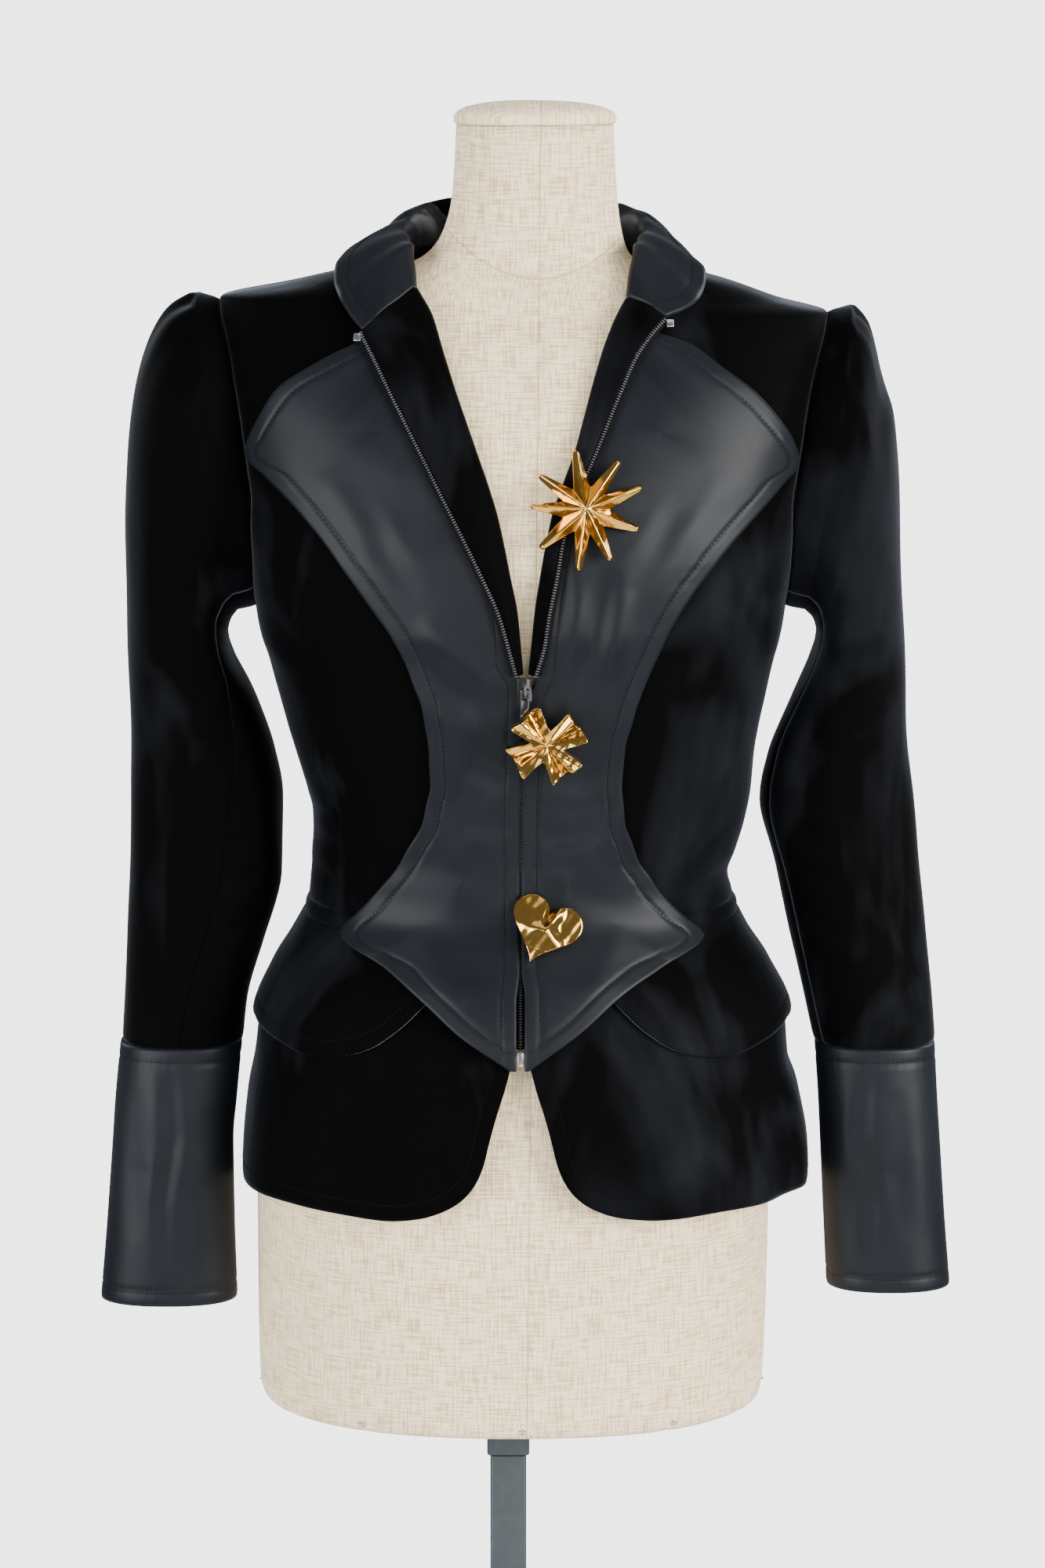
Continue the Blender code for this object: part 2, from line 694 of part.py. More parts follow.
def collar_rows(side):
    """Sections of one half of the collar's upper side, from the lapel seam to the centre back."""
    table = COLLAR_LEFT if side > 0 else COLLAR_RIGHT
    first, first_under = lapel_section(side, 1.0)
    before = lapel_section(side, 0.98)[0]
    shift = (first - before) / np.linalg.norm(first - before, axis=1, keepdims=True) * SEAM
    rows = [first + shift]
    share = np.linspace(0, 1, LAPEL_STEPS)[:, None]
    for degrees, *places in table["rows"]:
        turn = np.array([side * math.radians(degrees)])
        if degrees < 95:
            level = height_at_x(turn, surface(BODY, side * NECK_TURN, NECK_POINT)[0] * 0.96)
        else:
            level = np.interp([degrees], (95, 177), (NECK_POINT, NECK_BACK))
        foot = lifted(turn, level, np.array([-0.9]))[0] + np.array([0, 0, 1.4])
        roll, edge = (np.array(places[k : k + 3], float) * (side, 1, 1) for k in (0, 3))
        pull = (roll - foot * (1 - ROLL_PLACE) ** 2 - edge * ROLL_PLACE**2) / (2 * ROLL_PLACE * (1 - ROLL_PLACE))
        rows.append(foot * (1 - share) ** 2 + pull * 2 * share * (1 - share) + edge * share**2)
    return rows, first_under + shift


def refine(rows, count):
    """Rows of points made smooth along the collar."""
    rows = np.array(rows)
    at = np.linspace(0, len(rows) - 1, count)
    knots = np.arange(len(rows))
    flat = rows.reshape(len(rows), -1)
    smooth = np.stack([monotone(knots, flat[:, k], at) for k in range(flat.shape[1])], 1)
    return smooth.reshape(count, rows.shape[1], 3)


def collar(side):
    rows, first_under = collar_rows(side)
    whole = refine(rows, 13)
    n = normals_of(whole)
    if n[len(n) // 2, LAPEL_STEPS - 2, 2] < 0:
        n = -n
    under = whole - n * COLLAR_WALL
    under[0] = first_under
    cut = 9
    for k in range(1, len(whole)):
        moved = clear_of_body(under[k], 0.9) - under[k]
        moved[:3] = 0
        under[k] += moved
        whole[k] += moved
    satin, satin_under = whole[: cut + 1].copy(), under[: cut + 1].copy()
    back = satin[-2] - satin[-1]
    back *= SEAM / np.linalg.norm(back, axis=1, keepdims=True)
    satin[-1] += back
    satin_under[-1] += back
    shell("collar_" + side_name(side), satin, satin_under, "satin")
    return whole[cut:], under[cut:]


def collars():
    ends = {side: collar(side) for side in (-1, 1)}
    over = np.concatenate([ends[-1][0], ends[1][0][::-1]])
    under = np.concatenate([ends[-1][1], ends[1][1][::-1]])
    for end, beside in ((0, 1), (-1, -2)):
        away = over[beside] - over[end]
        away *= 3.5 * SEAM / np.linalg.norm(away, axis=1, keepdims=True)
        over[end] += away
        under[end] += away
    shell("collar_back", over, under, "velvet")


def sleeve_table(side):
    return SLEEVE_LEFT if side > 0 else SLEEVE_RIGHT


def head_pleats(angle, drop):
    """Gathers of the sleeve head, fading down the sleeve."""
    fade = max(0.0, 1 - drop / HEAD_PLEAT_REACH) * min(1.0, drop / 9.0)
    crown = np.clip(np.cos(angle) * 1.6, 0, 1)
    return HEAD_PLEAT_DEPTH * fade * crown * np.cos(HEAD_PLEATS * 2 * angle)


def sleeve_ring(side, share, angle, grow):
    """Points round the sleeve at a share of its length below the armhole."""
    table = sleeve_table(side)
    inner = np.array([side * along(table, "inner_x", share), along(table, "inner_z", share)])
    outer = np.array([side * along(table, "outer_x", share), along(table, "outer_z", share)])
    depth = along(table, "depth", share) + grow
    middle_y = along(table, "middle_y", share)
    centre = (inner + outer) / 2
    half = outer - centre
    length = np.hypot(*half)
    way = half / length
    c, s = np.cos(angle), np.sin(angle)
    reach = (np.abs(s) ** SLEEVE_POWER + np.abs(c) ** SLEEVE_POWER) ** (-1 / SLEEVE_POWER)
    drop = share * 420.0
    out = head_pleats(angle, drop)
    along_way = reach * c * (length + grow) + out * c
    y = middle_y - (reach * s * depth + out * s)
    return np.stack([centre[0] + way[0] * along_way, y, centre[1] + way[1] * along_way], axis=-1)


def armhole_ring(side, angle, inset):
    turn, height = armhole(side, angle)
    points = surface(BODY, turn, height)
    middle = np.array([0.0, 2.0, (shoulder_tip(side) + ARMPIT) / 2])
    away = points - middle
    away[:, 0] = 0
    away /= np.linalg.norm(away, axis=1, keepdims=True)
    points = points - away * inset
    points[:, 0] += side * 0.5
    return points


BACK_SEAM = -122


def seam_angles(side, share, upper, columns):
    """Angles across the upper or under sleeve between its two seams."""
    front = math.radians(along(sleeve_table(side), "seam", share))
    back = math.radians(BACK_SEAM)
    first, last = (back, front) if upper else (front, back + 2 * math.pi)
    edge = SEAM / 2 / 55.0
    return np.linspace(first + edge, last - edge, columns)


def sleeve_grid(side, upper, columns, inset):
    shares = np.concatenate([[0.0, 0.02, 0.05, 0.09], np.linspace(0.15, 1.0, 8)])
    grid = [armhole_ring(side, seam_angles(side, 0.0, upper, columns), inset)]
    for share in shares:
        grid.append(sleeve_ring(side, share, seam_angles(side, share, upper, columns), -inset))
    return np.array(grid)


def sleeve(side):
    for name, upper, columns in (("sleeve_upper_", True, 25), ("sleeve_under_", False, 7)):
        outer = sleeve_grid(side, upper, columns, 0.0)
        inner = sleeve_grid(side, upper, columns, WALL)
        shell(name + side_name(side), outer, inner, "velvet")


def cuff(side):
    table = CUFF_LEFT if side > 0 else CUFF_RIGHT
    angle = np.linspace(0, 2 * math.pi, 23)[:-1]
    outer, inner = [], []
    for share in np.linspace(0, 1, 5):
        inner_x, outer_x = along(table, "inner_x", share), along(table, "outer_x", share)
        half, centre = (outer_x - inner_x) / 2, side * (outer_x + inner_x) / 2
        depth, middle, height = (along(table, k, share) for k in ("depth", "middle_y", "height"))
        c, s = np.cos(angle), np.sin(angle)
        power = 2.3
        reach = (np.abs(s) ** power + np.abs(c) ** power) ** (-1 / power)
        for rank, less in ((outer, 0.0), (inner, WALL)):
            x = centre + side * reach * c * (half - less)
            y = middle - reach * s * (depth - less)
            rank.append(np.stack([x, y, height + 0 * x], axis=-1))
    shell("cuff_" + side_name(side), np.array(outer), np.array(inner), "satin", wrap=True)


def zip_tapes(side):
    """The closed stretch of the zip, between the fronts."""
    height = np.linspace(957, 1182, 12)
    inner = turn_at_x(centre_x(height) + side * 0.3, height)
    outer = turn_at_x(centre_x(height) + side * 5.6, height)
    turn = blend_rows(inner, outer, 3)
    level = blend_rows(height, height, 3)
    lift = np.interp(level, (957, 1000, 1020, 1032, 1040), (-2.8, -3.4, -3.4, -0.6, -0.4))
    panel("zip_tape_" + side_name(side), turn, level, lift, TAPE_WALL, "zip")


def zip_edges(side):
    """The open stretch of the zip along the lapel's free edge."""
    table = lapel_table(side)
    over, under = [], []
    for share in np.linspace(0.0, 0.98, 13):
        x, z = along(table, "free_x", share), along(table, "free_z", share)
        turns = turn_at_x(x + side * np.array([0.9, 3.0, 5.0]), np.full(3, z))
        level = np.full(3, z)
        over.append(lifted(turns, level, np.full(3, 5.0)))
        under.append(lifted(turns, level, np.full(3, 3.7)))
    shell("zip_edge_" + side_name(side), np.array(over), np.array(under), "zip")


def local_frame(x, height, lift):
    """Origin and axes of a flat thing that lies on the front: across, up and out."""
    turn = turn_at_x(np.array([x]), np.array([height]))
    origin = lifted(turn, np.array([height]), np.array([lift]))[0]
    out = outward(BODY, turn, np.array([height]))[0]
    up = np.array([0.0, 0.0, 1.0])
    up = up - out * np.dot(up, out)
    up /= np.linalg.norm(up)
    across = np.cross(up, out)
    if across[0] < 0:
        across = -across
    return origin, across, up, out


def place(points, frame):
    origin, across, up, out = frame
    points = np.asarray(points, float)
    return origin + points[:, :1] * across + points[:, 1:2] * up + points[:, 2:3] * out


def ornament(name, outline, frame, depth, shank_radius, shank_drop):
    """A faceted front over a flat back, with a round shank behind."""
    n = len(outline)
    outline = np.asarray(outline, float)
    ring = np.column_stack([outline, np.full(n, 0.0)])
    belt = np.column_stack([outline * 0.93, np.full(n, depth * 0.45)])
    inside = np.column_stack([outline * 0.5, np.full(n, depth * 0.85)])
    steps = np.linspace(0, 2 * math.pi, n, endpoint=False) + math.atan2(outline[0, 1], outline[0, 0])
    shank = np.column_stack([np.cos(steps) * shank_radius, np.sin(steps) * shank_radius, np.zeros(n)])
    foot = shank + np.array([0, 0, -shank_drop])
    points = np.concatenate([foot, shank, ring, belt, inside, [[0, 0, depth]], [[0, 0, -shank_drop]]])
    faces = []
    for level in range(4):
        for i in range(n):
            a, b = level * n + i, level * n + (i + 1) % n
            faces.append((a, b, b + n, a + n))
    apex, heel = 5 * n, 5 * n + 1
    for i in range(n):
        faces.append((4 * n + i, 4 * n + (i + 1) % n, apex))
        faces.append(((i + 1) % n, i, heel))
    verts = place(points, frame) * MM
    return add_mesh(name, verts, faces, "gold", smooth=False)


def star_outline():
    points = []
    for k in range(18):
        radius = 31.5 if k % 2 == 0 else 18.0
        angle = math.radians(100 + 20 * k)
        points.append((radius * math.cos(angle) * 0.94, radius * math.sin(angle) * 1.04))
    return points


def clover_outline():
    points = []
    for k in range(24):
        angle = 2 * math.pi * k / 24
        leaf = abs(math.sin(2 * angle))
        lobe = abs(math.sin(4 * angle)) * 0.06
        radius = 9.5 + 15.5 * leaf ** 0.55 - 16 * max(0, leaf - 0.93) + 20 * lobe
        turned = angle + math.radians(-14)
        points.append((radius * math.cos(turned), radius * math.sin(turned)))
    return points


def heart_outline():
    points = []
    for k in range(24):
        t = 2 * math.pi * k / 24 + math.pi / 2
        x = 16 * math.sin(t) ** 3
        y = 13 * math.cos(t) - 5 * math.cos(2 * t) - 2 * math.cos(3 * t) - math.cos(4 * t)
        x, y = x * 1.42, (y + 2) * 1.42
        lean = math.radians(-20)
        points.append((x * math.cos(lean) - y * math.sin(lean), x * math.sin(lean) + y * math.cos(lean)))
    return points[::-1]


def ornaments():
    ornament("button_star", star_outline(), local_frame(41.0, 1287, 8.8), 9.0, 3.4, 5.4)
    ornament("button_clover", clover_outline(), local_frame(17.5, 1149, 11.2), 7.0, 4.0, 7.8)
    ornament("button_heart", heart_outline(), local_frame(15.5, 1024, 8.6), 9.0, 4.0, 4.3)


SLIDER_HEIGHT = 1179.0
SLIDER_LIFT = 3.4


def centre_frame(height, lift):
    """A frame on the centre front whose across axis is exactly X."""
    middle = float(centre_x(height))
    turn = turn_at_x(np.array([middle]), np.array([height]))
    origin = lifted(turn, np.array([height]), np.array([lift]))[0]
    origin[0] = middle
    out = outward(BODY, turn, np.array([height]))[0] * np.array([0, 1, 1])
    out /= np.linalg.norm(out)
    across = np.array([1.0, 0.0, 0.0])
    up = np.cross(out, across)
    return origin, across, up, out


def blocks(name, cuts, solid, frame, slot):
    """One body from the filled cells of a small grid of cuts across, up and out."""
    index, verts, faces = {}, [], []

    def corner(i, j, k):
        if (i, j, k) not in index:
            index[i, j, k] = len(verts)
            verts.append((cuts[0][i], cuts[1][j], cuts[2][k]))
        return index[i, j, k]

    steps = ((0, 1, 2), (1, 2, 0), (2, 0, 1))
    for cell in sorted(solid):
        for axis, second, third in steps:
            for way in (0, 1):
                beside = list(cell)
                beside[axis] += 1 if way else -1
                if tuple(beside) in solid:
                    continue
                square = []
                for b, c in ((0, 0), (1, 0), (1, 1), (0, 1)):
                    at = list(cell)
                    at[axis] += way
                    at[second] += b
                    at[third] += c
                    square.append(corner(*at))
                faces.append(tuple(square if way else reversed(square)))
    return add_mesh(name, place(verts, frame) * MM, faces, slot, smooth=False)


def slider():
    """The plate of the zip slider with its bridge, an arch along the zip."""
    frame = centre_frame(SLIDER_HEIGHT, SLIDER_LIFT)
    cuts = ((-4.4, -1.1, 1.1, 4.4), (-8.0, -2.8, -1.6, 6.2, 7.5, 8.6), (0.0, 2.6, 6.5, 7.8))
    solid = {(i, j, 0) for i in range(3) for j in range(5)}
    solid |= {(1, 1, 1), (1, 3, 1)}
    solid |= {(1, j, 2) for j in (1, 2, 3)}
    blocks("zip_slider", cuts, solid, frame, "black_metal")


def pull_tab():
    """The tab hangs on a bar that passes under the bridge, with an arm on each side of it."""
    frame = centre_frame(SLIDER_HEIGHT, SLIDER_LIFT)
    cuts = ((-3.0, -1.6, 1.6, 3.0), (-20.0, -4.4, 0.4, 2.0), (3.4, 5.0))
    solid = {(i, 0, 0) for i in range(3)} | {(0, 1, 0), (2, 1, 0)} | {(i, 2, 0) for i in range(3)}
    blocks("zip_pull_tab", cuts, solid, frame, "black_metal")


def bottom_box():
    frame = centre_frame(951.0, 0.4)
    blocks("zip_bottom_box", ((-2.3, 2.3), (-4.6, 4.6), (-3.2, 3.4)), {(0, 0, 0)}, frame, "steel")


def top_stops():
    for side in (-1, 1):
        row = lapel_table(side)["rows"][-1]
        frame = local_frame(row[2] + side * 3.0, row[3] - 4.0, 5.4)
        blocks("zip_stop_" + side_name(side), ((-2.2, 2.2), (-2.6, 2.6), (0.0, 2.4)), {(0, 0, 0)}, frame, "steel")


def form_body():
    """The limbless form, whole: hips, waist, chest and shoulders just inside the jacket, and the neck."""
    columns = 26
    turn = np.linspace(0, 2 * math.pi, columns + 1)[:-1]
    rows = []
    for height in column(FORM_LOWER, "height"):
        rows.append(surface(FORM_LOWER, turn, np.full(columns, height)))
    for height in (1250, 1290, 1330, 1360, 1383, 1396, 1404, 1414, 1422):
        level = np.full(columns, float(height))
        clear = FORM_CLEAR + 4.0 * max(0.0, min(1.0, (height - 1385) / 20))
        rows.append(surface(BODY, turn, level) - outward(BODY, turn, level) * clear)
    for height in column(NECK, "height"):
        rows.append(surface(NECK, turn, np.full(columns, height)))
    grid = np.array(rows)
    closed_tube("form_body", grid, "linen")


def closed_tube(name, grid, slot):
    """Rings of points joined in a tube and closed at both ends."""
    rows, columns = grid.shape[:2]
    faces = []
    for i in range(rows - 1):
        for j in range(columns):
            k = (j + 1) % columns
            faces.append((i * columns + j, i * columns + k, (i + 1) * columns + k, (i + 1) * columns + j))
    verts = list(grid.reshape(-1, 3))
    for ring, turned in ((0, True), (rows - 1, False)):
        verts.append(grid[ring].mean(axis=0))
        middle = len(verts) - 1
        for j in range(columns):
            pair = (ring * columns + j, ring * columns + (j + 1) % columns)
            faces.append((pair[1], pair[0], middle) if turned else (pair[0], pair[1], middle))
    return add_mesh(name, np.array(verts) * MM, faces, slot)


def neck_cap():
    columns = 20
    turn = np.linspace(0, 2 * math.pi, columns + 1)[:-1]
    top = column(NECK, "height")[-1]
    rim = surface(NECK, turn, np.full(columns, top))
    middle = rim.mean(axis=0)
    rings = []
    for share, rise in ((1.0, 0.3), (1.03, 1.5), (1.03, 5.0), (0.99, 8.0), (0.85, 11.0), (0.55, 13.6), (0.2, 14.6)):
        ring = middle + (rim - middle) * share
        ring[:, 2] = top + rise
        rings.append(ring)
    closed_tube("form_neck_cap", np.array(rings), "linen")


def square_post(name, side, low, high, slot):
    half = side / 2
    cuts = ((POLE_X - half, POLE_X + half), (-half, half), (low, high))
    frame = (np.zeros(3), np.array([1.0, 0, 0]), np.array([0, 1.0, 0]), np.array([0, 0, 1.0]))
    blocks(name, cuts, {(0, 0, 0)}, frame, slot)


def stand():
    square_post("form_socket", SOCKET_SIDE, SOCKET_BOTTOM, FORM_BOTTOM - SEAM, "dark_steel")
    square_post("form_pole", POLE_SIDE, BASE_HEIGHT + SEAM, SOCKET_BOTTOM - SEAM, "dark_steel")
    columns = 32
    turn = np.linspace(0, 2 * math.pi, columns + 1)[:-1]
    rings = []
    for radius, height in ((BASE_RADIUS - 1.5, 0.0), (BASE_RADIUS, 1.5), (BASE_RADIUS, 10.5), (BASE_RADIUS - 1.5, 12.0)):
        rings.append(np.stack([radius * np.cos(turn), radius * np.sin(turn), height + 0 * turn], axis=-1))
    closed_tube("form_base", np.array(rings), "dark_steel")


def material(name, colour, metallic, roughness):
    made = bpy.data.materials.new(name)
    made.use_nodes = True
    node = made.node_tree.nodes["Principled BSDF"]
    node.inputs["Base Color"].default_value = (*colour, 1.0)
    node.inputs["Metallic"].default_value = metallic
    node.inputs["Roughness"].default_value = roughness
    return made


for old in list(bpy.data.objects):
    bpy.data.objects.remove(old)

COLLECTION = bpy.data.collections.new("velvet_jacket_on_dress_form")
bpy.context.scene.collection.children.link(COLLECTION)
MATERIALS = {
    "velvet": material("velvet", (0.008, 0.008, 0.010), 0.0, 0.85),
    "satin": material("satin", (0.030, 0.034, 0.042), 0.0, 0.45),
    "linen": material("linen", (0.62, 0.52, 0.39), 0.0, 0.9),
    "zip": material("zip", (0.006, 0.006, 0.007), 0.0, 0.5),
    "black_metal": material("black_metal", (0.012, 0.012, 0.014), 1.0, 0.35),
    "steel": material("steel", (0.62, 0.62, 0.62), 1.0, 0.3),
    "gold": material("gold", (0.83, 0.60, 0.22), 1.0, 0.22),
    "dark_steel": material("dark_steel", (0.06, 0.07, 0.075), 0.9, 0.45),
}

for side in (-1, 1):
    front_panel(side)
    back_panel(side)
    plastron(side)
    band(side)
    peplum(side)
    facing(side)
    sleeve(side)
    cuff(side)
    zip_tapes(side)
    zip_edges(side)
collars()
slider()
pull_tab()
bottom_box()
top_stops()
ornaments()
form_body()
neck_cap()
stand()
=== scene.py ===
import math

import bmesh
import bpy
import numpy as np
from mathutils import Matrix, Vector


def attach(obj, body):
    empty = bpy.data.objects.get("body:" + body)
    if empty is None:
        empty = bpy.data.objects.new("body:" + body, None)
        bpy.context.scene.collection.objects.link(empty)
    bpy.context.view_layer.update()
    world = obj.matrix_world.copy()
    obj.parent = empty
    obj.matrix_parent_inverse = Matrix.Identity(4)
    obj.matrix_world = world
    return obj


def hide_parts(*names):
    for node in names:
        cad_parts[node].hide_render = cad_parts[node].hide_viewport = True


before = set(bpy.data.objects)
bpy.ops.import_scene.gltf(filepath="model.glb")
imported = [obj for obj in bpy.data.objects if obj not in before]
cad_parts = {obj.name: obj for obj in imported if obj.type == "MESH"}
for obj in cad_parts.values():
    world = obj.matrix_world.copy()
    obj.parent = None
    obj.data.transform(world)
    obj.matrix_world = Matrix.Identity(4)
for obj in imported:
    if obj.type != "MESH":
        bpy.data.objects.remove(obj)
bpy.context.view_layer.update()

# Sizes are in millimetres until a mesh is made. X is toward the wearer's left, Y toward the back, Z up.
MM = 0.001
JACKET = "jacket_on_form"
PULL = "zip_pull"
WALL = 2.0
SEAM = 0.06
TAPE_WALL = 1.2
SATIN_WALL = 1.8
CROWD = 0.75
CENTRE_LOW = 2.0
CENTRE_HIGH = 5.0
WAIST = 1030.0
BAND_BOTTOM = 1021.6
TIER_TOP = 1021.5
UPPER_HEM = 943.0
ARMPIT = 1215.0
NECK_POINT = 1439.0
NECK_BACK = 1444.0
FORM_CLEAR = 5.1
LINING_WALL = 1.6
FOLD_INSET = 6.0
NECK_ROOM = 4.5
COLLAR_WALL = 1.6
TOPSTITCH_IN = 9.5
# Half a seam between two panels, as an angle round the body.
HALF_SEAM = 0.0003
STITCH_PITCH = 3.1

# The camera and its lens, as the photograph was taken.
TARGET = (0.00325, 0.0, 1.100)
DISTANCE = 3.0
PITCH = math.radians(10)
LENS = 108.0
ROOM_LIGHT = 0.85
MIRRORED_ROOM = 0.22
WALL_LIGHT = 4.4

# The jacket's outside below the overlays: half-widths to each side, depths to front and back.
BODY = {
    "columns": ("height", "right", "left", "front", "back", "power"),
    "rows": (
        (840, 178, 185, 140, 150, 2.3), (865, 177, 187, 139, 149, 2.3), (905, 173, 181, 137, 147, 2.3),
        (926, 170, 175, 135, 144, 2.3), (955, 168, 174, 131, 139, 2.3), (985, 156, 161, 121, 122, 2.3),
        (1008, 143, 147, 109, 104, 2.3), (1030, 134, 138, 100, 90, 2.3), (1045, 132, 134, 99, 86, 2.3),
        (1060, 131, 139, 99, 85, 2.3), (1080, 130, 145, 101, 85, 2.35), (1100, 134, 149, 104, 86, 2.35),
        (1125, 141, 151, 108, 88, 2.4), (1160, 151, 158, 114, 92, 2.4), (1193, 160, 165, 118, 97, 2.45),
        (1215, 165, 169, 120, 100, 2.5), (1250, 170, 176, 119, 103, 2.6), (1290, 174, 181, 111, 104, 2.7),
        (1330, 180, 187, 99, 101, 2.8), (1360, 184, 191, 87, 95, 2.8), (1385, 186, 194, 73, 86, 2.8),
        (1400, 187, 195, 64, 78, 2.7), (1410, 186, 163, 58, 72, 2.6), (1420, 141, 135, 54, 67, 2.6),
        (1428, 107, 107, 51, 63, 2.5), (1440, 68, 77, 47, 60, 2.4), (1446, 50, 62, 45, 59, 2.3),
    ),
}

# The form below the chest, and its neck.
FORM_LOWER = {
    "columns": ("height", "right", "left", "front", "back", "power"),
    "rows": (
        (700, 158, 152, 108, 112, 2.3), (703, 164, 157, 112, 116, 2.3), (712, 167, 159, 115, 120, 2.3),
        (760, 168, 161, 118, 124, 2.3), (830, 168, 162, 122, 131, 2.3), (900, 164, 161, 122, 134, 2.3),
        (960, 153, 154, 114, 118, 2.3), (1000, 134, 136, 96, 93, 2.3), (1030, 124, 128, 89, 78, 2.3),
        (1060, 123, 130, 90, 76, 2.3), (1100, 125, 140, 95, 78, 2.35), (1160, 142, 149, 106, 84, 2.4),
        (1210, 157, 161, 113, 93, 2.5),
    ),
}
NECK = {
    "columns": ("height", "right", "left", "front", "back", "power"),
    "rows": (
        (1429, 72, 84, 43, 54, 2.3), (1436, 58, 71, 42, 53, 2.2), (1448, 48, 66, 41, 52, 2.1),
        (1472, 41, 62.5, 39, 49, 2.0), (1517, 38, 60, 38, 48, 2.0),
    ),
}

# Where each piece lies over or under the body surface, by height.
LIFT = {
    "columns": ("height", "plastron", "upper", "lower"),
    "rows": (
        (840, 5.2, 2.0, 0.0), (900, 5.2, 2.0, 0.0), (955, 5.2, 2.0, -2.6), (990, 5.0, 1.6, -3.2),
        (1005, 4.4, 0.9, -3.2), (1022, 3.4, 0.0, -3.2), (1040, 2.9, 0.0, -3.2), (1250, 2.9, 0.0, -3.2),
        (1310, 3.5, 0.0, -3.2), (1440, 3.5, 0.0, -3.2),
    ),
}

# Folded edge and free edge of each lapel, from just above the slider up to the collar seam.
LAPEL_RIGHT = {
    "columns": ("fold_x", "fold_z", "free_x", "free_z"),
    "rows": (
        (3.9, 1189, 0.9, 1189), (2.4, 1206, -3.6, 1206), (0.2, 1228, -10, 1227), (-3.6, 1247, -18, 1245), (-11.7, 1285, -38, 1284),
        (-24.1, 1322, -57, 1321), (-37.1, 1358, -76, 1357), (-45.5, 1383, -85, 1374), (-52.0, 1403, -91, 1385),
        (-61.5, 1419, -94, 1391),
    ),
}
LAPEL_LEFT = {
    "columns": ("fold_x", "fold_z", "free_x", "free_z"),
    "rows": (
        (6.6, 1189, 9.6, 1189), (8.4, 1206, 14.6, 1206), (10.6, 1228, 18, 1227), (13.5, 1247, 22, 1246), (21.0, 1285, 29.5, 1284),
        (34.5, 1322, 46, 1321), (44.6, 1358, 61, 1356), (52.4, 1383, 72, 1378), (60.4, 1402, 82, 1391),
        (66.8, 1413, 90, 1399),
    ),
}

# Outer edge of each plastron, distance from the centre plane by height.
PLASTRON_RIGHT = {
    "columns": ("height", "edge"),
    "rows": (
        (944, 4), (951, 15), (963, 34), (983, 58), (1001, 82), (1018, 109), (1038, 93), (1061, 75),
        (1093, 58), (1118, 53), (1143, 54), (1168, 58), (1195, 68), (1212, 77), (1240, 97), (1267, 117),
        (1291, 138), (1305, 153), (1317, 166), (1328, 163), (1341, 157), (1359, 145), (1372, 125),
        (1380, 110), (1388, 92),
    ),
}
PLASTRON_LEFT = {
    "columns": ("height", "edge"),
    "rows": (
        (944, 7), (951, 17), (966, 39), (987, 65), (1001, 90), (1016, 115), (1042, 91), (1067, 75),
        (1093, 66), (1118, 64), (1143, 66), (1168, 73), (1189, 81), (1215, 93), (1237, 107), (1262, 127),
        (1285, 148), (1301, 163), (1311, 172), (1326, 168), (1339, 160), (1357, 144), (1371, 125),
        (1385, 106), (1391, 88),
    ),
}

# Sleeve and cuff sections from the armhole down.
SLEEVE_RIGHT = {
    "columns": ("inner_x", "inner_z", "outer_x", "outer_z", "depth", "middle_y", "seam"),
    "rows": (
        (177, 1213, 200, 1413, 56, 1, 150), (181, 1208, 218, 1403, 60, 2, 149), (183, 1203, 232, 1381, 61, 3, 148),
        (184, 1197, 241, 1350, 60, 5, 145), (183, 1189, 246, 1311, 58, 7, 142), (179, 1178, 248, 1262, 56, 9, 137),
        (168, 1158, 248, 1203, 52, 11, 130), (155, 1122, 247, 1136, 47, 11, 120), (150, 1090, 247, 1096, 44, 9, 112),
        (151, 1046, 248, 1050, 41, 5, 104), (163, 999, 250, 1001, 38, 0, 98), (173, 963, 252, 965, 35, -6, 93),
        (176, 936.3, 253.5, 936.3, 33, -10, 90),
    ),
}
SLEEVE_LEFT = {
    "columns": ("inner_x", "inner_z", "outer_x", "outer_z", "depth", "middle_y", "seam"),
    "rows": (
        (182, 1213, 209, 1405, 56, 1, 152), (187, 1208, 220, 1393, 60, 2, 152), (189, 1203, 229, 1362, 61, 3, 152),
        (190, 1197, 237, 1335, 60, 5, 152), (189, 1188, 241, 1297, 58, 7, 152), (185, 1176, 242.5, 1255, 56, 9, 152),
        (174, 1152, 246, 1195, 52, 11, 152), (160, 1118, 249, 1130, 47, 11, 152), (155, 1088, 253, 1094, 44, 9, 152),
        (166, 1046, 257, 1050, 41, 5, 151), (176, 999, 262, 1001, 38, 0, 151), (184, 963, 266, 965, 35, -6, 150),
        (190, 936.3, 268, 936.3, 33, -10, 150),
    ),
}
CUFF_RIGHT = {
    "columns": ("inner_x", "outer_x", "depth", "middle_y", "height"),
    "rows": (
        (176.5, 254.5, 32, -10, 936), (180, 258, 31, -14, 900), (182.5, 260, 30, -17, 870),
        (182, 264, 30, -20, 820), (180.5, 268.5, 30, -23, 770),
    ),
}
CUFF_LEFT = {
    "columns": ("inner_x", "outer_x", "depth", "middle_y", "height"),
    "rows": (
        (190.5, 267.5, 32, -10, 936), (193, 269.5, 31, -14, 900), (194.5, 271.5, 30, -17, 870),
        (197, 275, 30, -20, 820), (199, 278.5, 30, -23, 779),
    ),
}
SLEEVE_POWER = 2.15

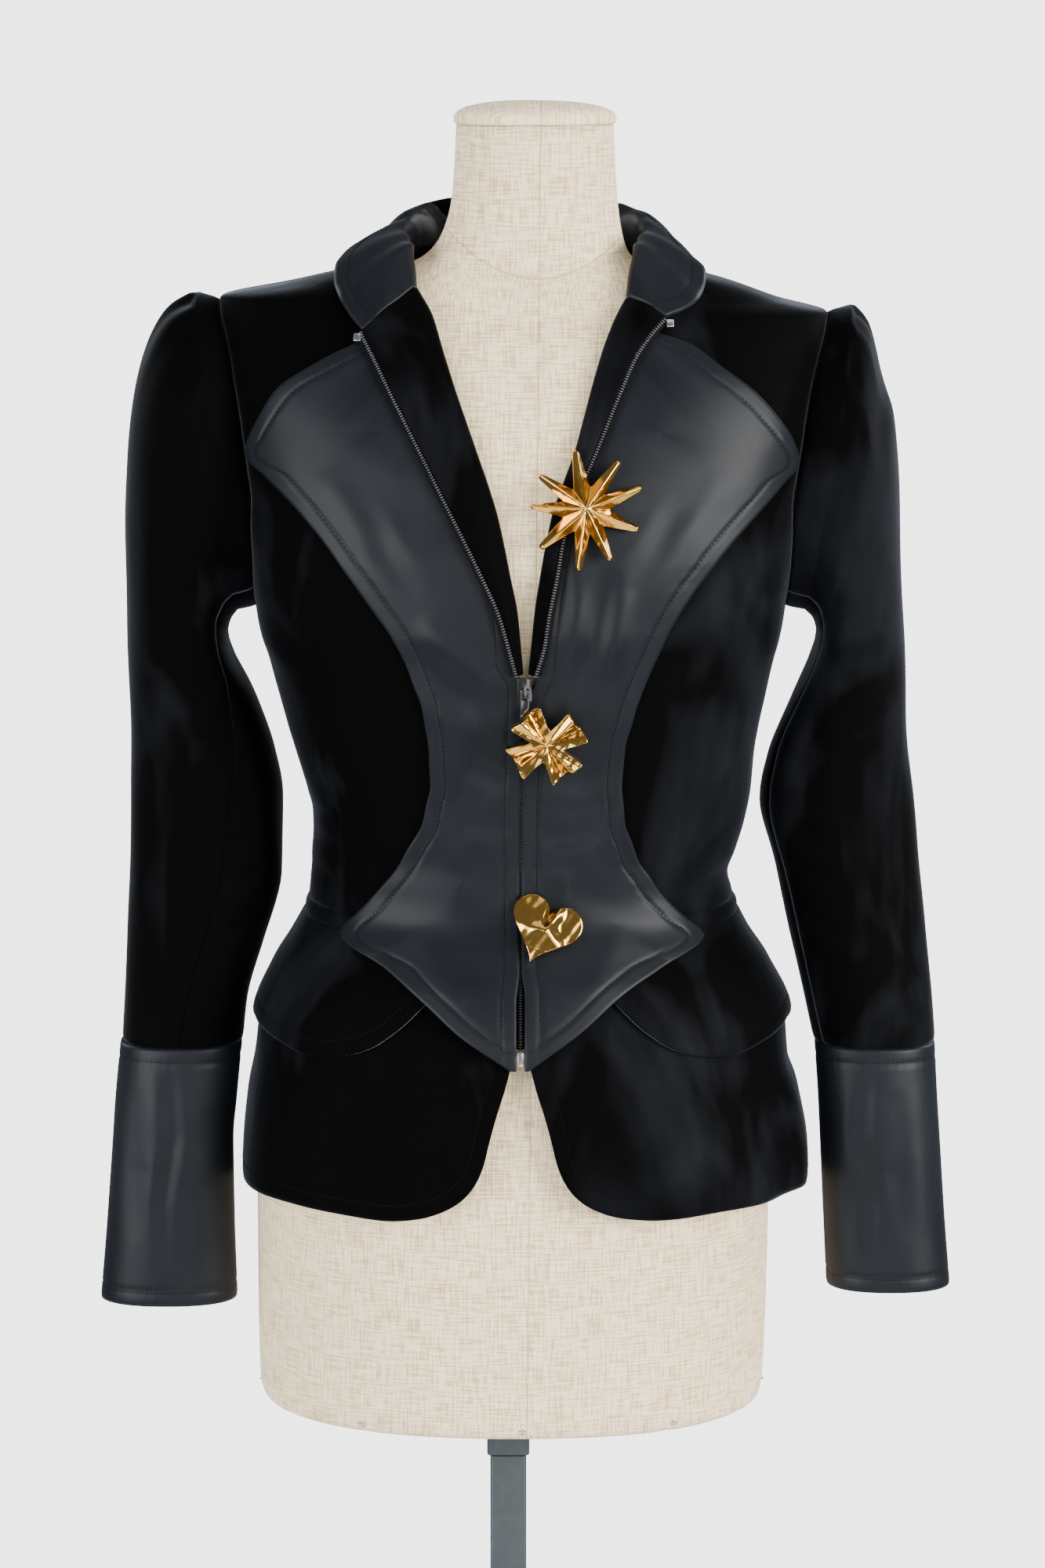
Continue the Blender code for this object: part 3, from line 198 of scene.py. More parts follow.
# Hem of the upper tier, and front edge and hem of the lower tier, distance from the centre by height.
UPPER_HEMS = {
    "columns": ("side", "hem"),
    "rows": ((55, 986), (77, 965), (95, 953), (114, 947), (132, 945), (150, 949), (165, 954), (176, 956)),
}
LOWER_HEMS = {
    "columns": ("side", "hem"),
    "rows": (
        (6.4, 944), (9.5, 932), (14, 918), (19, 900), (23, 884), (29, 871), (41, 859),
        (63, 850.5), (90, 848), (126, 849), (150, 850), (170, 850), (186, 850),
    ),
}

# Soft flutes of the lower tier: place round the body in degrees, half-width and depth.
FLUTES = {
    "columns": ("place", "spread", "depth"),
    "rows": (
        (-24, 7, 4), (-62, 12, 3), (-112, 12, 6), (-146, 11, 7), (-168, 8, 4),
        (30, 9, 3), (50, 8, 6), (70, 8, 5), (115, 12, 6), (148, 11, 7), (171, 8, 4),
    ),
}

# Collar sections from the lapel seam to the centre back: turn of the foot, then roll and free edge.
COLLAR_RIGHT = {
    "columns": ("turn", "roll_x", "roll_y", "roll_z", "edge_x", "edge_y", "edge_z"),
    "rows": (
        (50, 65, -38, 1443, 109, -55, 1412), (75, 69, -18, 1448, 114, -37, 1428), (95, 70, 4, 1452, 105, -9, 1440),
        (118, 64, 29, 1457, 85, 15, 1450), (140, 51, 49, 1458, 68, 45, 1462), (160, 28, 60, 1460, 38, 66, 1468),
        (177, 5, 63, 1460, 6, 70, 1469),
    ),
}
COLLAR_LEFT = {
    "columns": ("turn", "roll_x", "roll_y", "roll_z", "edge_x", "edge_y", "edge_z"),
    "rows": (
        (50, 72, -38, 1443, 112, -52, 1412), (75, 77, -18, 1448, 117, -32, 1426), (95, 79, 4, 1452, 108, -7, 1439),
        (118, 73, 29, 1457, 95, 15, 1449), (140, 59, 49, 1458, 78, 45, 1461), (160, 34, 60, 1460, 44, 66, 1467),
        (177, 9, 63, 1460, 10, 70, 1469),
    ),
}

# Creases pressed into the body of the jacket: depth, half-width, then points as X and Z.
# A depth below 0 is a trough between two soft ridges, above 0 a ridge.
FRONT_CREASES = (
    (-1.5, 7, (-131, 1074), (-112, 1066), (-88, 1064), (-70, 1068)),
    (-1.1, 5, (-132, 1054), (-116, 1048), (-97, 1049)),
    (-1.0, 5, (-134, 1092), (-118, 1088), (-96, 1096)),
    (0.9, 6, (-136, 1106), (-120, 1120), (-98, 1124)),
    (-1.5, 8, (-163, 1226), (-146, 1206), (-126, 1190)),
    (-1.2, 9, (-158, 1196), (-146, 1172), (-138, 1142)),
    (1.0, 10, (-150, 1240), (-134, 1222), (-110, 1206)),
    (-0.8, 10, (-112, 1180), (-92, 1156), (-86, 1128)),
    (-1.7, 7, (107, 1124), (109, 1094), (118, 1077), (131, 1062)),
    (1.2, 6, (118, 1122), (121, 1098), (132, 1080)),
    (-1.1, 5, (134, 1050), (116, 1043), (98, 1048)),
    (-1.0, 5, (142, 1086), (128, 1090), (116, 1102)),
    (-1.6, 8, (167, 1230), (150, 1208), (132, 1194)),
    (-1.1, 9, (163, 1192), (152, 1166), (147, 1136)),
    (1.0, 10, (154, 1244), (138, 1226), (118, 1212)),
    (-0.9, 10, (120, 1178), (104, 1150), (100, 1132)),
    (-1.0, 8, (-176, 1300), (-160, 1286), (-148, 1262)),
    (-1.0, 8, (182, 1302), (168, 1284), (158, 1262)),
)
BACK_CREASES = (
    (-1.6, 7, (-128, 1070), (-96, 1060), (-58, 1064), (-20, 1058)),
    (-1.2, 5, (-126, 1048), (-84, 1044), (-40, 1048)),
    (-1.2, 7, (-124, 1096), (-86, 1086), (-44, 1092)),
    (1.0, 8, (-120, 1112), (-80, 1106), (-34, 1112)),
    (-1.4, 7, (134, 1076), (100, 1064), (66, 1066), (28, 1060)),
    (-1.1, 5, (130, 1052), (92, 1046), (54, 1050)),
    (-1.2, 8, (138, 1100), (104, 1090), (60, 1096)),
    (1.0, 8, (130, 1118), (88, 1110), (44, 1118)),
    (-1.6, 9, (-160, 1226), (-130, 1204), (-96, 1192)),
    (-1.2, 9, (-156, 1196), (-132, 1172), (-112, 1142)),
    (-1.6, 9, (166, 1228), (136, 1206), (102, 1196)),
    (-1.1, 9, (160, 1194), (138, 1168), (120, 1144)),
    (-0.9, 14, (-60, 1300), (-58, 1240), (-50, 1180)),
    (-0.9, 14, (64, 1306), (60, 1244), (54, 1190)),
    (0.9, 12, (0, 1180), (2, 1130), (0, 1090)),
)

# Creases of the sleeves, as distance from the centre plane and height.
SLEEVE_RIGHT_FRONT = (
    (1.8, 7, (173, 1188), (168, 1151), (160, 1098), (157, 1036), (168, 990)),
    (-2.0, 7, (180, 1168), (181, 1126), (176, 1084), (176, 1040)),
    (1.6, 7, (196, 1080), (190, 1039), (185, 995), (181, 955)),
    (-1.6, 6, (160, 1074), (182, 1064), (204, 1070), (222, 1082)),
    (-1.2, 5, (158, 1050), (176, 1044), (192, 1050)),
    (-1.2, 5, (164, 1020), (184, 1010), (206, 1016)),
    (1.3, 10, (226, 1300), (230, 1220), (226, 1140)),
    (-1.6, 10, (206, 1320), (212, 1250), (206, 1180)),
    (-1.2, 7, (232, 1120), (226, 1060), (232, 1004)),
    (-1.0, 6, (240, 1040), (222, 1024), (204, 1030)),
    (1.0, 8, (190, 1250), (196, 1210), (190, 1172)),
)
SLEEVE_RIGHT_BACK = (
    (-2.0, 7, (242, 1072), (214, 1062), (186, 1070), (164, 1082)),
    (-1.6, 6, (240, 1048), (216, 1040), (190, 1046)),
    (-1.5, 6, (244, 1020), (222, 1012), (198, 1020)),
    (1.4, 9, (226, 1320), (222, 1240), (214, 1160)),
    (-1.5, 9, (204, 1300), (200, 1230), (192, 1160)),
    (-1.2, 8, (214, 1000), (210, 960), (214, 940)),
)
SLEEVE_LEFT_FRONT = (
    (1.7, 7, (177, 1184), (172, 1150), (166, 1100), (172, 1044), (182, 992)),
    (-1.9, 7, (188, 1170), (186, 1128), (182, 1086), (186, 1044)),
    (1.6, 8, (206, 1086), (210, 1040), (214, 990), (218, 950)),
    (-1.7, 6, (168, 1078), (190, 1068), (212, 1072), (236, 1084)),
    (-1.2, 5, (172, 1054), (192, 1046), (210, 1052)),
    (-1.2, 5, (182, 1018), (202, 1010), (222, 1018)),
    (-1.8, 5, (224, 1374), (227, 1350), (226, 1330), (222, 1300)),
    (1.4, 8, (214, 1340), (216, 1280), (210, 1210)),
    (-1.5, 9, (232, 1290), (236, 1210), (232, 1140)),
    (-1.1, 7, (244, 1110), (240, 1056), (246, 1004)),
    (1.0, 8, (196, 1250), (202, 1210), (196, 1172)),
)
SLEEVE_LEFT_BACK = (
    (-2.0, 7, (248, 1074), (220, 1062), (192, 1070), (170, 1084)),
    (-1.5, 6, (252, 1046), (226, 1036), (198, 1044)),
    (-1.4, 6, (256, 1016), (232, 1008), (208, 1016)),
    (1.4, 9, (228, 1310), (226, 1240), (220, 1160)),
    (-1.6, 9, (206, 1296), (204, 1230), (198, 1160)),
    (-1.1, 8, (228, 1000), (226, 962), (230, 940)),
)
CUFF_CREASES = (
    (-1.3, 5, (222, 928), (219, 880), (226, 836), (224, 792)),
    (1.0, 7, (206, 926), (208, 876), (204, 826), (207, 790)),
    (-0.9, 7, (240, 910), (244, 860), (247, 812)),
    (0.9, 9, (236, 930), (234, 900), (240, 858)),
)
TIER_CREASES = (
    (-1.1, 7, (-120, 1008), (-128, 984), (-134, 960)),
    (1.2, 8, (-98, 1000), (-106, 978), (-112, 952)),
    (-0.9, 6, (-84, 1006), (-88, 990), (-92, 968)),
    (-1.1, 7, (124, 1006), (134, 982), (140, 962)),
    (1.2, 8, (104, 1004), (110, 980), (118, 956)),
    (-0.9, 6, (90, 1004), (94, 988), (96, 970)),
)
SATIN_CREASES = (
    (-0.9, 10, (-70, 1202), (-54, 1190), (-43, 1179), (-25, 1170), (-4, 1168)),
    (1.0, 9, (-60, 1222), (-42, 1204), (-20, 1190)),
    (-1.2, 7, (56, 1256), (51, 1232), (47, 1209), (39, 1179)),
    (0.9, 8, (66, 1240), (62, 1214), (56, 1186)),
    (-0.9, 6, (24, 1262), (26, 1236), (24, 1210)),
    (-0.8, 6, (-30, 1132), (-12, 1122), (-4, 1120)),
    (-0.8, 6, (52, 1128), (36, 1120), (22, 1122)),
    (-0.7, 6, (-34, 1096), (-16, 1092), (-4, 1096)),
    (-0.7, 6, (50, 1090), (30, 1084), (14, 1088)),
    (-0.5, 7, (-92, 1290), (-80, 1262), (-60, 1236)),
    (0.5, 9, (-120, 1310), (-104, 1286), (-86, 1268)),
    (-0.5, 7, (100, 1292), (84, 1262), (66, 1238)),
    (0.5, 9, (128, 1308), (112, 1284), (94, 1264)),
    (-0.5, 8, (-40, 1200), (-34, 1150), (-38, 1100)),
    (-0.5, 8, (46, 1204), (42, 1150), (46, 1100)),
    (0.4, 8, (-60, 1030), (-52, 1004), (-36, 980)),
    (0.4, 8, (66, 1030), (56, 1004), (40, 982)),
)


def monotone(knots, values, at):
    """A smooth curve through the values that never overshoots them."""
    knots = np.asarray(knots, float)
    values = np.asarray(values, float)
    step = np.diff(knots)
    slope = np.diff(values) / step
    tangent = np.empty_like(values)
    tangent[0], tangent[-1] = slope[0], slope[-1]
    before, after = slope[:-1], slope[1:]
    same = before * after > 0
    total = np.where(same, before + after, 1.0)
    tangent[1:-1] = np.where(same, 2 * before * after / total, 0.0)
    at = np.clip(np.asarray(at, float), knots[0], knots[-1])
    i = np.clip(np.searchsorted(knots, at) - 1, 0, len(step) - 1)
    t = (at - knots[i]) / step[i]
    return (
        values[i] * (1 + 2 * t) * (1 - t) ** 2
        + values[i + 1] * t * t * (3 - 2 * t)
        + tangent[i] * step[i] * t * (1 - t) ** 2
        - tangent[i + 1] * step[i] * t * t * (1 - t)
    )


def column(table, name):
    """One column of a table."""
    k = table["columns"].index(name)
    return np.array([row[k] for row in table["rows"]], float)


def read(table, name, at):
    return monotone(column(table, table["columns"][0]), column(table, name), at)


def along(table, name, share):
    """A column read by its place in the table, 0 at the first row and 1 at the last."""
    values = column(table, name)
    return monotone(np.linspace(0, 1, len(values)), values, share)


def straight(table, name, at):
    return np.interp(at, column(table, table["columns"][0]), column(table, name))


def surface(table, turn, height):
    """Point on a body of rounded sections. Turn is 0 at the centre front, a quarter turn at the left side."""
    turn = np.asarray(turn, float)
    height = np.asarray(height, float)
    s, c = np.sin(turn), np.cos(turn)
    power = read(table, "power", height)
    reach = (np.abs(s) ** power + np.abs(c) ** power) ** (-1 / power)
    wide = np.where(s < 0, read(table, "right", height), read(table, "left", height))
    deep = np.where(c > 0, read(table, "front", height), read(table, "back", height))
    return np.stack([reach * s * wide, -reach * c * deep, height + 0 * turn], axis=-1)


def outward(table, turn, height):
    """The unit normal of a body of rounded sections."""
    a, h = 0.004, 0.8
    round_way = surface(table, turn + a, height) - surface(table, turn - a, height)
    up_way = surface(table, turn, height + h) - surface(table, turn, height - h)
    n = np.cross(round_way, up_way)
    return n / np.linalg.norm(n, axis=-1, keepdims=True)


def lifted(turn, height, lift):
    """A point over the jacket's body surface."""
    lift = np.asarray(lift, float)
    return surface(BODY, turn, height) + outward(BODY, turn, height) * lift[..., None]


def turn_at_x(x, height):
    x = np.asarray(x, float)
    wide = np.where(x < 0, read(BODY, "right", height), read(BODY, "left", height))
    power = read(BODY, "power", height)
    q = np.clip((np.abs(x) / wide) ** power, 0, 0.9995)
    return np.sign(x) * np.arctan((q / (1 - q)) ** (1 / power))


def turn_at_y(y, height, side):
    y = np.asarray(y, float)
    deep = np.where(y < 0, read(BODY, "front", height), read(BODY, "back", height))
    power = read(BODY, "power", height)
    q = np.clip((np.abs(y) / deep) ** power, 1e-9, 0.9995)
    from_front = np.arctan(((1 - q) / q) ** (1 / power))
    return side * np.where(y < 0, from_front, math.pi - from_front)


def normals_of(grid, wrap=False):
    """Unit normals of a grid of points, rows by columns."""
    if wrap:
        across = np.roll(grid, -1, axis=1) - np.roll(grid, 1, axis=1)
    else:
        across = np.gradient(grid, axis=1)
    down = np.gradient(grid, axis=0)
    n = np.cross(across, down)
    return n / np.maximum(np.linalg.norm(n, axis=-1, keepdims=True), 1e-9)


def finer(field, down, across):
    """A grid of values or points with more rows and columns, smooth through the ones that it has."""
    field = np.asarray(field, float)
    flat = field.reshape(field.shape[0], field.shape[1], -1)
    rows, columns, depth = flat.shape
    at = np.linspace(0, rows - 1, (rows - 1) * down + 1)
    tall = np.empty((len(at), columns, depth))
    for j in range(columns):
        for k in range(depth):
            tall[:, j, k] = monotone(np.arange(rows), flat[:, j, k], at)
    at = np.linspace(0, columns - 1, (columns - 1) * across + 1)
    wide = np.empty((tall.shape[0], len(at), depth))
    for i in range(tall.shape[0]):
        for k in range(depth):
            wide[i, :, k] = monotone(np.arange(columns), tall[i, :, k], at)
    return wide.reshape(wide.shape[:2] + field.shape[2:])


def creases(x, z, rows):
    """How far a set of creases moves the cloth outward at each place."""
    shape = np.shape(x)
    p = np.stack([np.ravel(x), np.ravel(z)], axis=1)
    moved = np.zeros(len(p))
    for depth, half, *points in rows:
        points = np.array(points, float)
        steps = np.linalg.norm(np.diff(points, axis=0), axis=1)
        total = steps.sum()
        best = np.full(len(p), 1e9)
        place = np.zeros(len(p))
        run = 0.0
        for a, b, step in zip(points[:-1], points[1:], steps):
            t = ((p - a) @ (b - a)) / step**2
            raw = run + t * step
            t = np.clip(t, 0, 1)
            d = np.linalg.norm(p - a - t[:, None] * (b - a), axis=1)
            near = d < best
            best = np.where(near, d, best)
            place = np.where(near, raw / total, place)
            run += step
        taper = np.clip(np.sin(np.pi * np.clip(place, 0, 1)), 0, 1) ** 0.8
        q = best / half
        if depth < 0:
            shape_across = np.exp(-(q**2)) - 0.42 * np.exp(-(((q - 1.75) / 0.8) ** 2))
        else:
            shape_across = np.exp(-(q**2))
        moved += depth * taper * shape_across
    return moved.reshape(shape)


def body_creases(turn, height):
    """The jacket's creases by place on the body, the same for every layer that lies on it."""
    point = surface(BODY, turn, height)
    front = np.clip(np.cos(turn) * 5 + 0.4, 0, 1)
    back = np.clip(-np.cos(turn) * 5 + 0.4, 0, 1)
    out = front * creases(point[..., 0], height, FRONT_CREASES)
    out = out + back * creases(point[..., 0], height, BACK_CREASES)
    # Light unevenness of cloth over padding.
    out = out + 0.35 * np.sin(turn * 9 + height * 0.021) * np.sin(height * 0.047 + turn * 4)
    return out


def edge_distance(grid, edge):
    """Distance of each grid point from one edge, square to that edge."""
    if edge in ("top", "bottom"):
        return edge_distance(grid.transpose(1, 0, 2), "last" if edge == "top" else "first").T
    g = grid if edge == "first" else grid[:, ::-1]
    steps = np.linalg.norm(np.diff(g, axis=1), axis=-1)
    run = np.concatenate([np.zeros((len(g), 1)), np.cumsum(steps, axis=1)], axis=1)
    tangent = np.gradient(g[:, 0], axis=0)
    tangent /= np.maximum(np.linalg.norm(tangent, axis=1, keepdims=True), 1e-9)
    inward = g[:, min(2, g.shape[1] - 1)] - g[:, 0]
    inward /= np.maximum(np.linalg.norm(inward, axis=1, keepdims=True), 1e-9)
    slant = np.linalg.norm(np.cross(tangent, inward), axis=1)
    kernel = np.ones(5) / 5
    slant = np.convolve(np.pad(slant, 2, mode="edge"), kernel, mode="valid")
    run = run * slant[:, None]
    return run if edge == "first" else run[:, ::-1]


def seam_press(grid, edges, depth=0.55, reach=2.4):
    """The cloth dips where it goes into a seam."""
    out = 0.0
    for edge in edges:
        out = out - depth * np.exp(-((edge_distance(grid, edge) / reach) ** 2))
    return out


def stitch_press(grid, edges):
    """A shallow groove with small puckers under a row of topstitching, and the edge rolled over."""
    out = 0.0
    for edge in edges:
        d = edge_distance(grid, edge)
        along_way = np.cumsum(np.full(d.shape, 1.0), axis=1 if edge in ("top", "bottom") else 0)
        pucker = 0.10 * np.sin(along_way * 1.9) * np.exp(-(((d - TOPSTITCH_IN) / 4.5) ** 2))
        out = out - 0.5 * np.exp(-(((d - TOPSTITCH_IN) / 1.5) ** 2)) - 0.35 * np.exp(-((d / 1.0) ** 2)) + pucker
    return out


def line_inside(grid, edge, distance, start=0, stop=None):
    """Points of a line that runs along an edge of a grid at a distance from it."""
    if edge in ("top", "bottom"):
        return line_inside(grid.transpose(1, 0, 2), "last" if edge == "top" else "first", distance, start, stop)
    d = edge_distance(grid, edge)
    if edge == "last":
        grid, d = grid[:, ::-1], d[:, ::-1]
    points = []
    for row, far in zip(grid[start:stop], d[start:stop]):
        if far[-1] <= distance * 1.15:
            continue
        points.append([np.interp(distance, far, row[:, k]) for k in range(3)])
    return np.array(points)


def add_piece(name, verts, faces, finish, uv=None, smooth=True):
    """A mesh object at the origin, its points already in place."""
    mesh = bpy.data.meshes.new(name)
    mesh.vertices.add(len(verts))
    mesh.vertices.foreach_set("co", (np.asarray(verts, float) * MM).ravel())
    faces = np.asarray(faces)
    sizes = np.full(len(faces), faces.shape[1])
    mesh.loops.add(int(sizes.sum()))
    mesh.loops.foreach_set("vertex_index", faces.ravel().astype(np.int32))
    mesh.polygons.add(len(faces))
    mesh.polygons.foreach_set("loop_start", np.concatenate([[0], np.cumsum(sizes)[:-1]]).astype(np.int32))
    mesh.polygons.foreach_set("loop_total", sizes.astype(np.int32))
    mesh.polygons.foreach_set("use_smooth", np.full(len(faces), smooth))
    if uv is not None:
        layer = mesh.uv_layers.new(name="Cloth")
        layer.data.foreach_set("uv", (np.asarray(uv)[faces.ravel()] * MM).ravel())
    mesh.update(calc_edges=True)
    mesh.validate()
    mesh.materials.append(FINISH[finish])
    obj = bpy.data.objects.new(name, mesh)
    bpy.context.scene.collection.objects.link(obj)
    return obj


def cloth_wall(name, outer, inner, finish, wrap=False):
    """A closed cloth wall between two grids of points, with a map of the cloth's own lengths."""
    rows, cols = outer.shape[:2]
    half = rows * cols
    verts = np.concatenate([outer.reshape(-1, 3), inner.reshape(-1, 3)])
    i = np.arange(rows - 1)[:, None]
    j = np.arange(cols if wrap else cols - 1)[None, :]
    k = (j + 1) % cols
    a, b, c, d = i * cols + j, i * cols + k, (i + 1) * cols + k, (i + 1) * cols + j
    top = np.stack([a, b, c, d], axis=-1).reshape(-1, 4)
    faces = [top, half + top[:, ::-1]]
    j, k = j.ravel(), k.ravel()
    base = (rows - 1) * cols
    faces.append(np.stack([j, half + j, half + k, k], axis=1))
    faces.append(np.stack([base + j, base + k, half + base + k, half + base + j], axis=1))
    if not wrap:
        a, b = np.arange(rows - 1) * cols, (np.arange(rows - 1) + 1) * cols
        faces.append(np.stack([a, b, half + b, half + a], axis=1))
        a, b = a + cols - 1, b + cols - 1
        faces.append(np.stack([a, half + a, half + b, b], axis=1))
    faces = np.concatenate(faces)
    centre = verts.mean(axis=0)
    v = verts - centre
    p, q, r, s = (v[faces[:, n]] for n in range(4))
    volume = (np.cross(p, q) * r).sum() + (np.cross(p, r) * s).sum()
    if volume < 0:
        faces = faces[:, ::-1]
    across = np.concatenate([[[0.0]] * rows, np.cumsum(np.linalg.norm(np.diff(outer, axis=1), axis=-1), axis=1)], axis=1)
    down = np.concatenate([[[0.0] * cols], np.cumsum(np.linalg.norm(np.diff(outer, axis=0), axis=-1), axis=0)], axis=0)
    across = across - across[:, cols // 2 : cols // 2 + 1]
    uv = np.stack([across, down], axis=-1).reshape(-1, 2)
    uv = np.concatenate([uv, uv])
    obj = add_piece(name, verts, faces, finish, uv)
    lengths = (float(across[:, -1].max() - across[:, 0].min()), float(down[-1].max()))
    steps_a = np.cross(outer[1:, 1:] - outer[:-1, :-1], outer[1:, :-1] - outer[:-1, 1:])
    area = float(np.linalg.norm(steps_a, axis=-1).sum() / 2)
    GRIDS[name] = outer
    SIZES[name] = (lengths, area)
    return obj


GRIDS = {}
SIZES = {}


def dressed(obj, *nodes, finish=None, body=JACKET):
    """The piece rides on its body and stands for its solids."""
    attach(obj, body)
    if nodes:
        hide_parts(*nodes)
    return obj


def body_cloth(name, turn, height, lift, wall, finish, down, across, seams=(), stitched=(), extra=None):
    """A cloth piece that follows the body, finer than its solid and with its creases pressed in."""
    turn, height = finer(turn, down, across), finer(height, down, across)
    lift = lift(height) if callable(lift) else lift + 0 * height
    plain = lifted(turn, height, lift)
    move = body_creases(turn, height) + seam_press(plain, seams) + stitch_press(plain, stitched)
    if extra is not None:
        move = move + extra(turn, height, plain)
    outer = lifted(turn, height, lift + move)
    inner = lifted(turn, height, lift + move - wall)
    return dressed(cloth_wall(name + "_cloth", outer, inner, finish), name, finish=finish)


def height_at_x(turn, x):
    low, high = np.full(np.shape(turn), 1411.0), np.full(np.shape(turn), 1446.0)
    for _ in range(24):
        middle = (low + high) / 2
        wider = np.abs(surface(BODY, turn, middle)[..., 0]) > np.abs(x)
        low, high = np.where(wider, middle, low), np.where(wider, high, middle)
    return (low + high) / 2


def centre_x(height):
    return np.interp(height, (1100, 1190), (CENTRE_LOW, CENTRE_HIGH))


def clear_of_body(points, gap):
    points = points.copy()
    for _ in range(4):
        x, y, z = points[..., 0], points[..., 1], points[..., 2]
        wide = np.where(x < 0, read(BODY, "right", z), read(BODY, "left", z))
        deep = np.where(y < 0, read(BODY, "front", z), read(BODY, "back", z))
        turn = np.arctan2(x / wide, -y / deep)
        n = outward(BODY, turn, z)
        off = ((points - surface(BODY, turn, z)) * n).sum(axis=-1)
        points = points + n * np.maximum(gap - off, 0)[..., None]
    return points


def blend_rows(first, last, count, crowd=1.0):
    share = np.linspace(0, 1, count)[None, :] ** crowd
    return first[:, None] * (1 - share) + last[:, None] * share


def side_name(side):
    return "left" if side > 0 else "right"


def lapel_table(side):
    return LAPEL_LEFT if side > 0 else LAPEL_RIGHT


ARMHOLE_DEPTH = 52.0


def shoulder_tip(side):
    return 1409.0 if side < 0 else 1401.0


def armhole(side, angle):
    tip = shoulder_tip(side)
    angle = np.asarray(angle, float)
    middle = (tip + ARMPIT) / 2
    height = middle + (tip - ARMPIT) / 2 * np.cos(angle)
    y = 2.0 - ARMHOLE_DEPTH * np.sin(angle) * (1 - 0.12 * np.cos(angle))
    return turn_at_y(y, height, side), height


def fold_edge(side, height, inset):
    table = lapel_table(side)
    fold_z = column(table, "fold_z")
    near_top = np.clip((height - fold_z[-1] + 28) / 25, 0, 1)
    fold = monotone(fold_z, column(table, "fold_x"), height) + side * (FOLD_INSET + NECK_ROOM * near_top)
    straight_edge = centre_x(height) + side * inset
    share = np.clip((height - 1186) / (fold_z[0] - 1186), 0, 1)
    return straight_edge * (1 - share) + fold * share


NECK_TURN = 1.665
NECK_SEAM_ROOM = 5.0


def neckline(side, share):
    row = lapel_table(side)["rows"][-1]
    start_x = row[0] + side * (FOLD_INSET + NECK_ROOM)
    start = turn_at_x(np.array([start_x]), np.array([row[1] - 3.0]))[0]
    end_x = surface(BODY, side * NECK_TURN, NECK_POINT)[0]
    turn = start + (side * NECK_TURN - start) * share
    aside = side * NECK_SEAM_ROOM * np.sin(math.pi * np.sqrt(share))
    height = height_at_x(turn, start_x + (end_x - start_x) * share + aside)
    return turn, height


def princess(turn, height, plain):
    """The long seams of the fitted body, from the shoulder or armhole down to the waist."""
    out = 0.0
    for low, high in ((-0.98, -0.62), (0.98, 0.66)):
        line = np.interp(height, (1020, 1120, 1230), (low, low * 0.97, high))
        gap = np.abs(turn - line) * np.linalg.norm(plain[..., :2], axis=-1)
        out = out - 0.7 * np.exp(-((gap / 1.6) ** 2)) * np.clip((1236 - height) / 12, 0, 1)
    return out


def front_panel(side):
    """The front of fitted velvet, from the waist seam to the shoulder."""
    below = np.linspace(WAIST + SEAM, ARMPIT, 10)
    angles = np.linspace(math.pi, 0, 13)[1:]
    side_turn, side_height = armhole(side, angles)
    side_turn[-1] = side * 1.6066
    outer_height = np.concatenate([below, side_height])
    outer_turn = np.concatenate([side * (math.pi / 2 - HALF_SEAM) + 0 * below, side_turn])
    top = lapel_table(side)["rows"][-1][1] - 3.0
    fold_height = np.concatenate([below, np.linspace(ARMPIT, top, 8)[1:]])
    fold_turn = turn_at_x(fold_edge(side, fold_height, 6.0), fold_height)
    neck_turn, neck_height = neckline(side, np.linspace(0, 1, 6)[1:])
    inner_turn = np.concatenate([fold_turn, neck_turn])
    inner_height = np.concatenate([fold_height, neck_height])
    turn = blend_rows(inner_turn, outer_turn, 9, CROWD)
    height = blend_rows(inner_height, outer_height, 9, CROWD)
    body_cloth(
        "front_" + side_name(side), turn, height, 0.0, WALL, "velvet", 6, 10,
        seams=("last", "top", "bottom"), extra=princess,
    )


def back_panel(side):
    """The back of fitted velvet, with a seam at the centre."""
    below = np.linspace(WAIST + SEAM, ARMPIT, 9)
    angles = np.linspace(-math.pi, 0, 13)[1:]
    side_turn, side_height = armhole(side, angles)
    outer_height = np.concatenate([below, side_height])
    outer_turn = np.concatenate([side * (math.pi / 2 + HALF_SEAM) + 0 * below, side_turn])
    outer_turn[-1] = side * 1.6074
    rise = np.linspace(0, 1, len(angles) + 1)[1:]
    inner_height = np.concatenate([below, ARMPIT + (NECK_BACK - ARMPIT) * rise])
    middle = side * (math.pi - HALF_SEAM)
    turn = blend_rows(middle + 0 * outer_turn, outer_turn, 9)
    height = blend_rows(inner_height, outer_height, 9)
    share = np.linspace(0, 1, 9)
    neck = side * (NECK_TURN + 0.0008)
    turn_top = np.interp(share, (0, 0.4, 1), (middle, neck, side * 1.6074))
    height_top = np.interp(share, (0, 0.4, 1), (NECK_BACK, NECK_POINT, outer_height[-1]))
    ease = np.clip((np.arange(len(outer_height)) - 12) / 8.0, 0, 1)[:, None] ** 2
    turn += ease * (turn_top - turn[-1])[None, :]
    height += ease * (height_top - height[-1])[None, :]

    def back_seam(turn, height, plain):
        line = side * np.interp(height, (1020, 1120, 1260), (2.46, 2.42, 2.22))
        gap = np.abs(turn - line) * np.linalg.norm(plain[..., :2], axis=-1)
        return -0.7 * np.exp(-((gap / 1.6) ** 2)) * np.clip((1290 - height) / 12, 0, 1)

    body_cloth(
        "back_" + side_name(side), turn, height, 0.0, WALL, "velvet", 6, 10,
        seams=("first", "last", "top", "bottom"), extra=back_seam,
    )


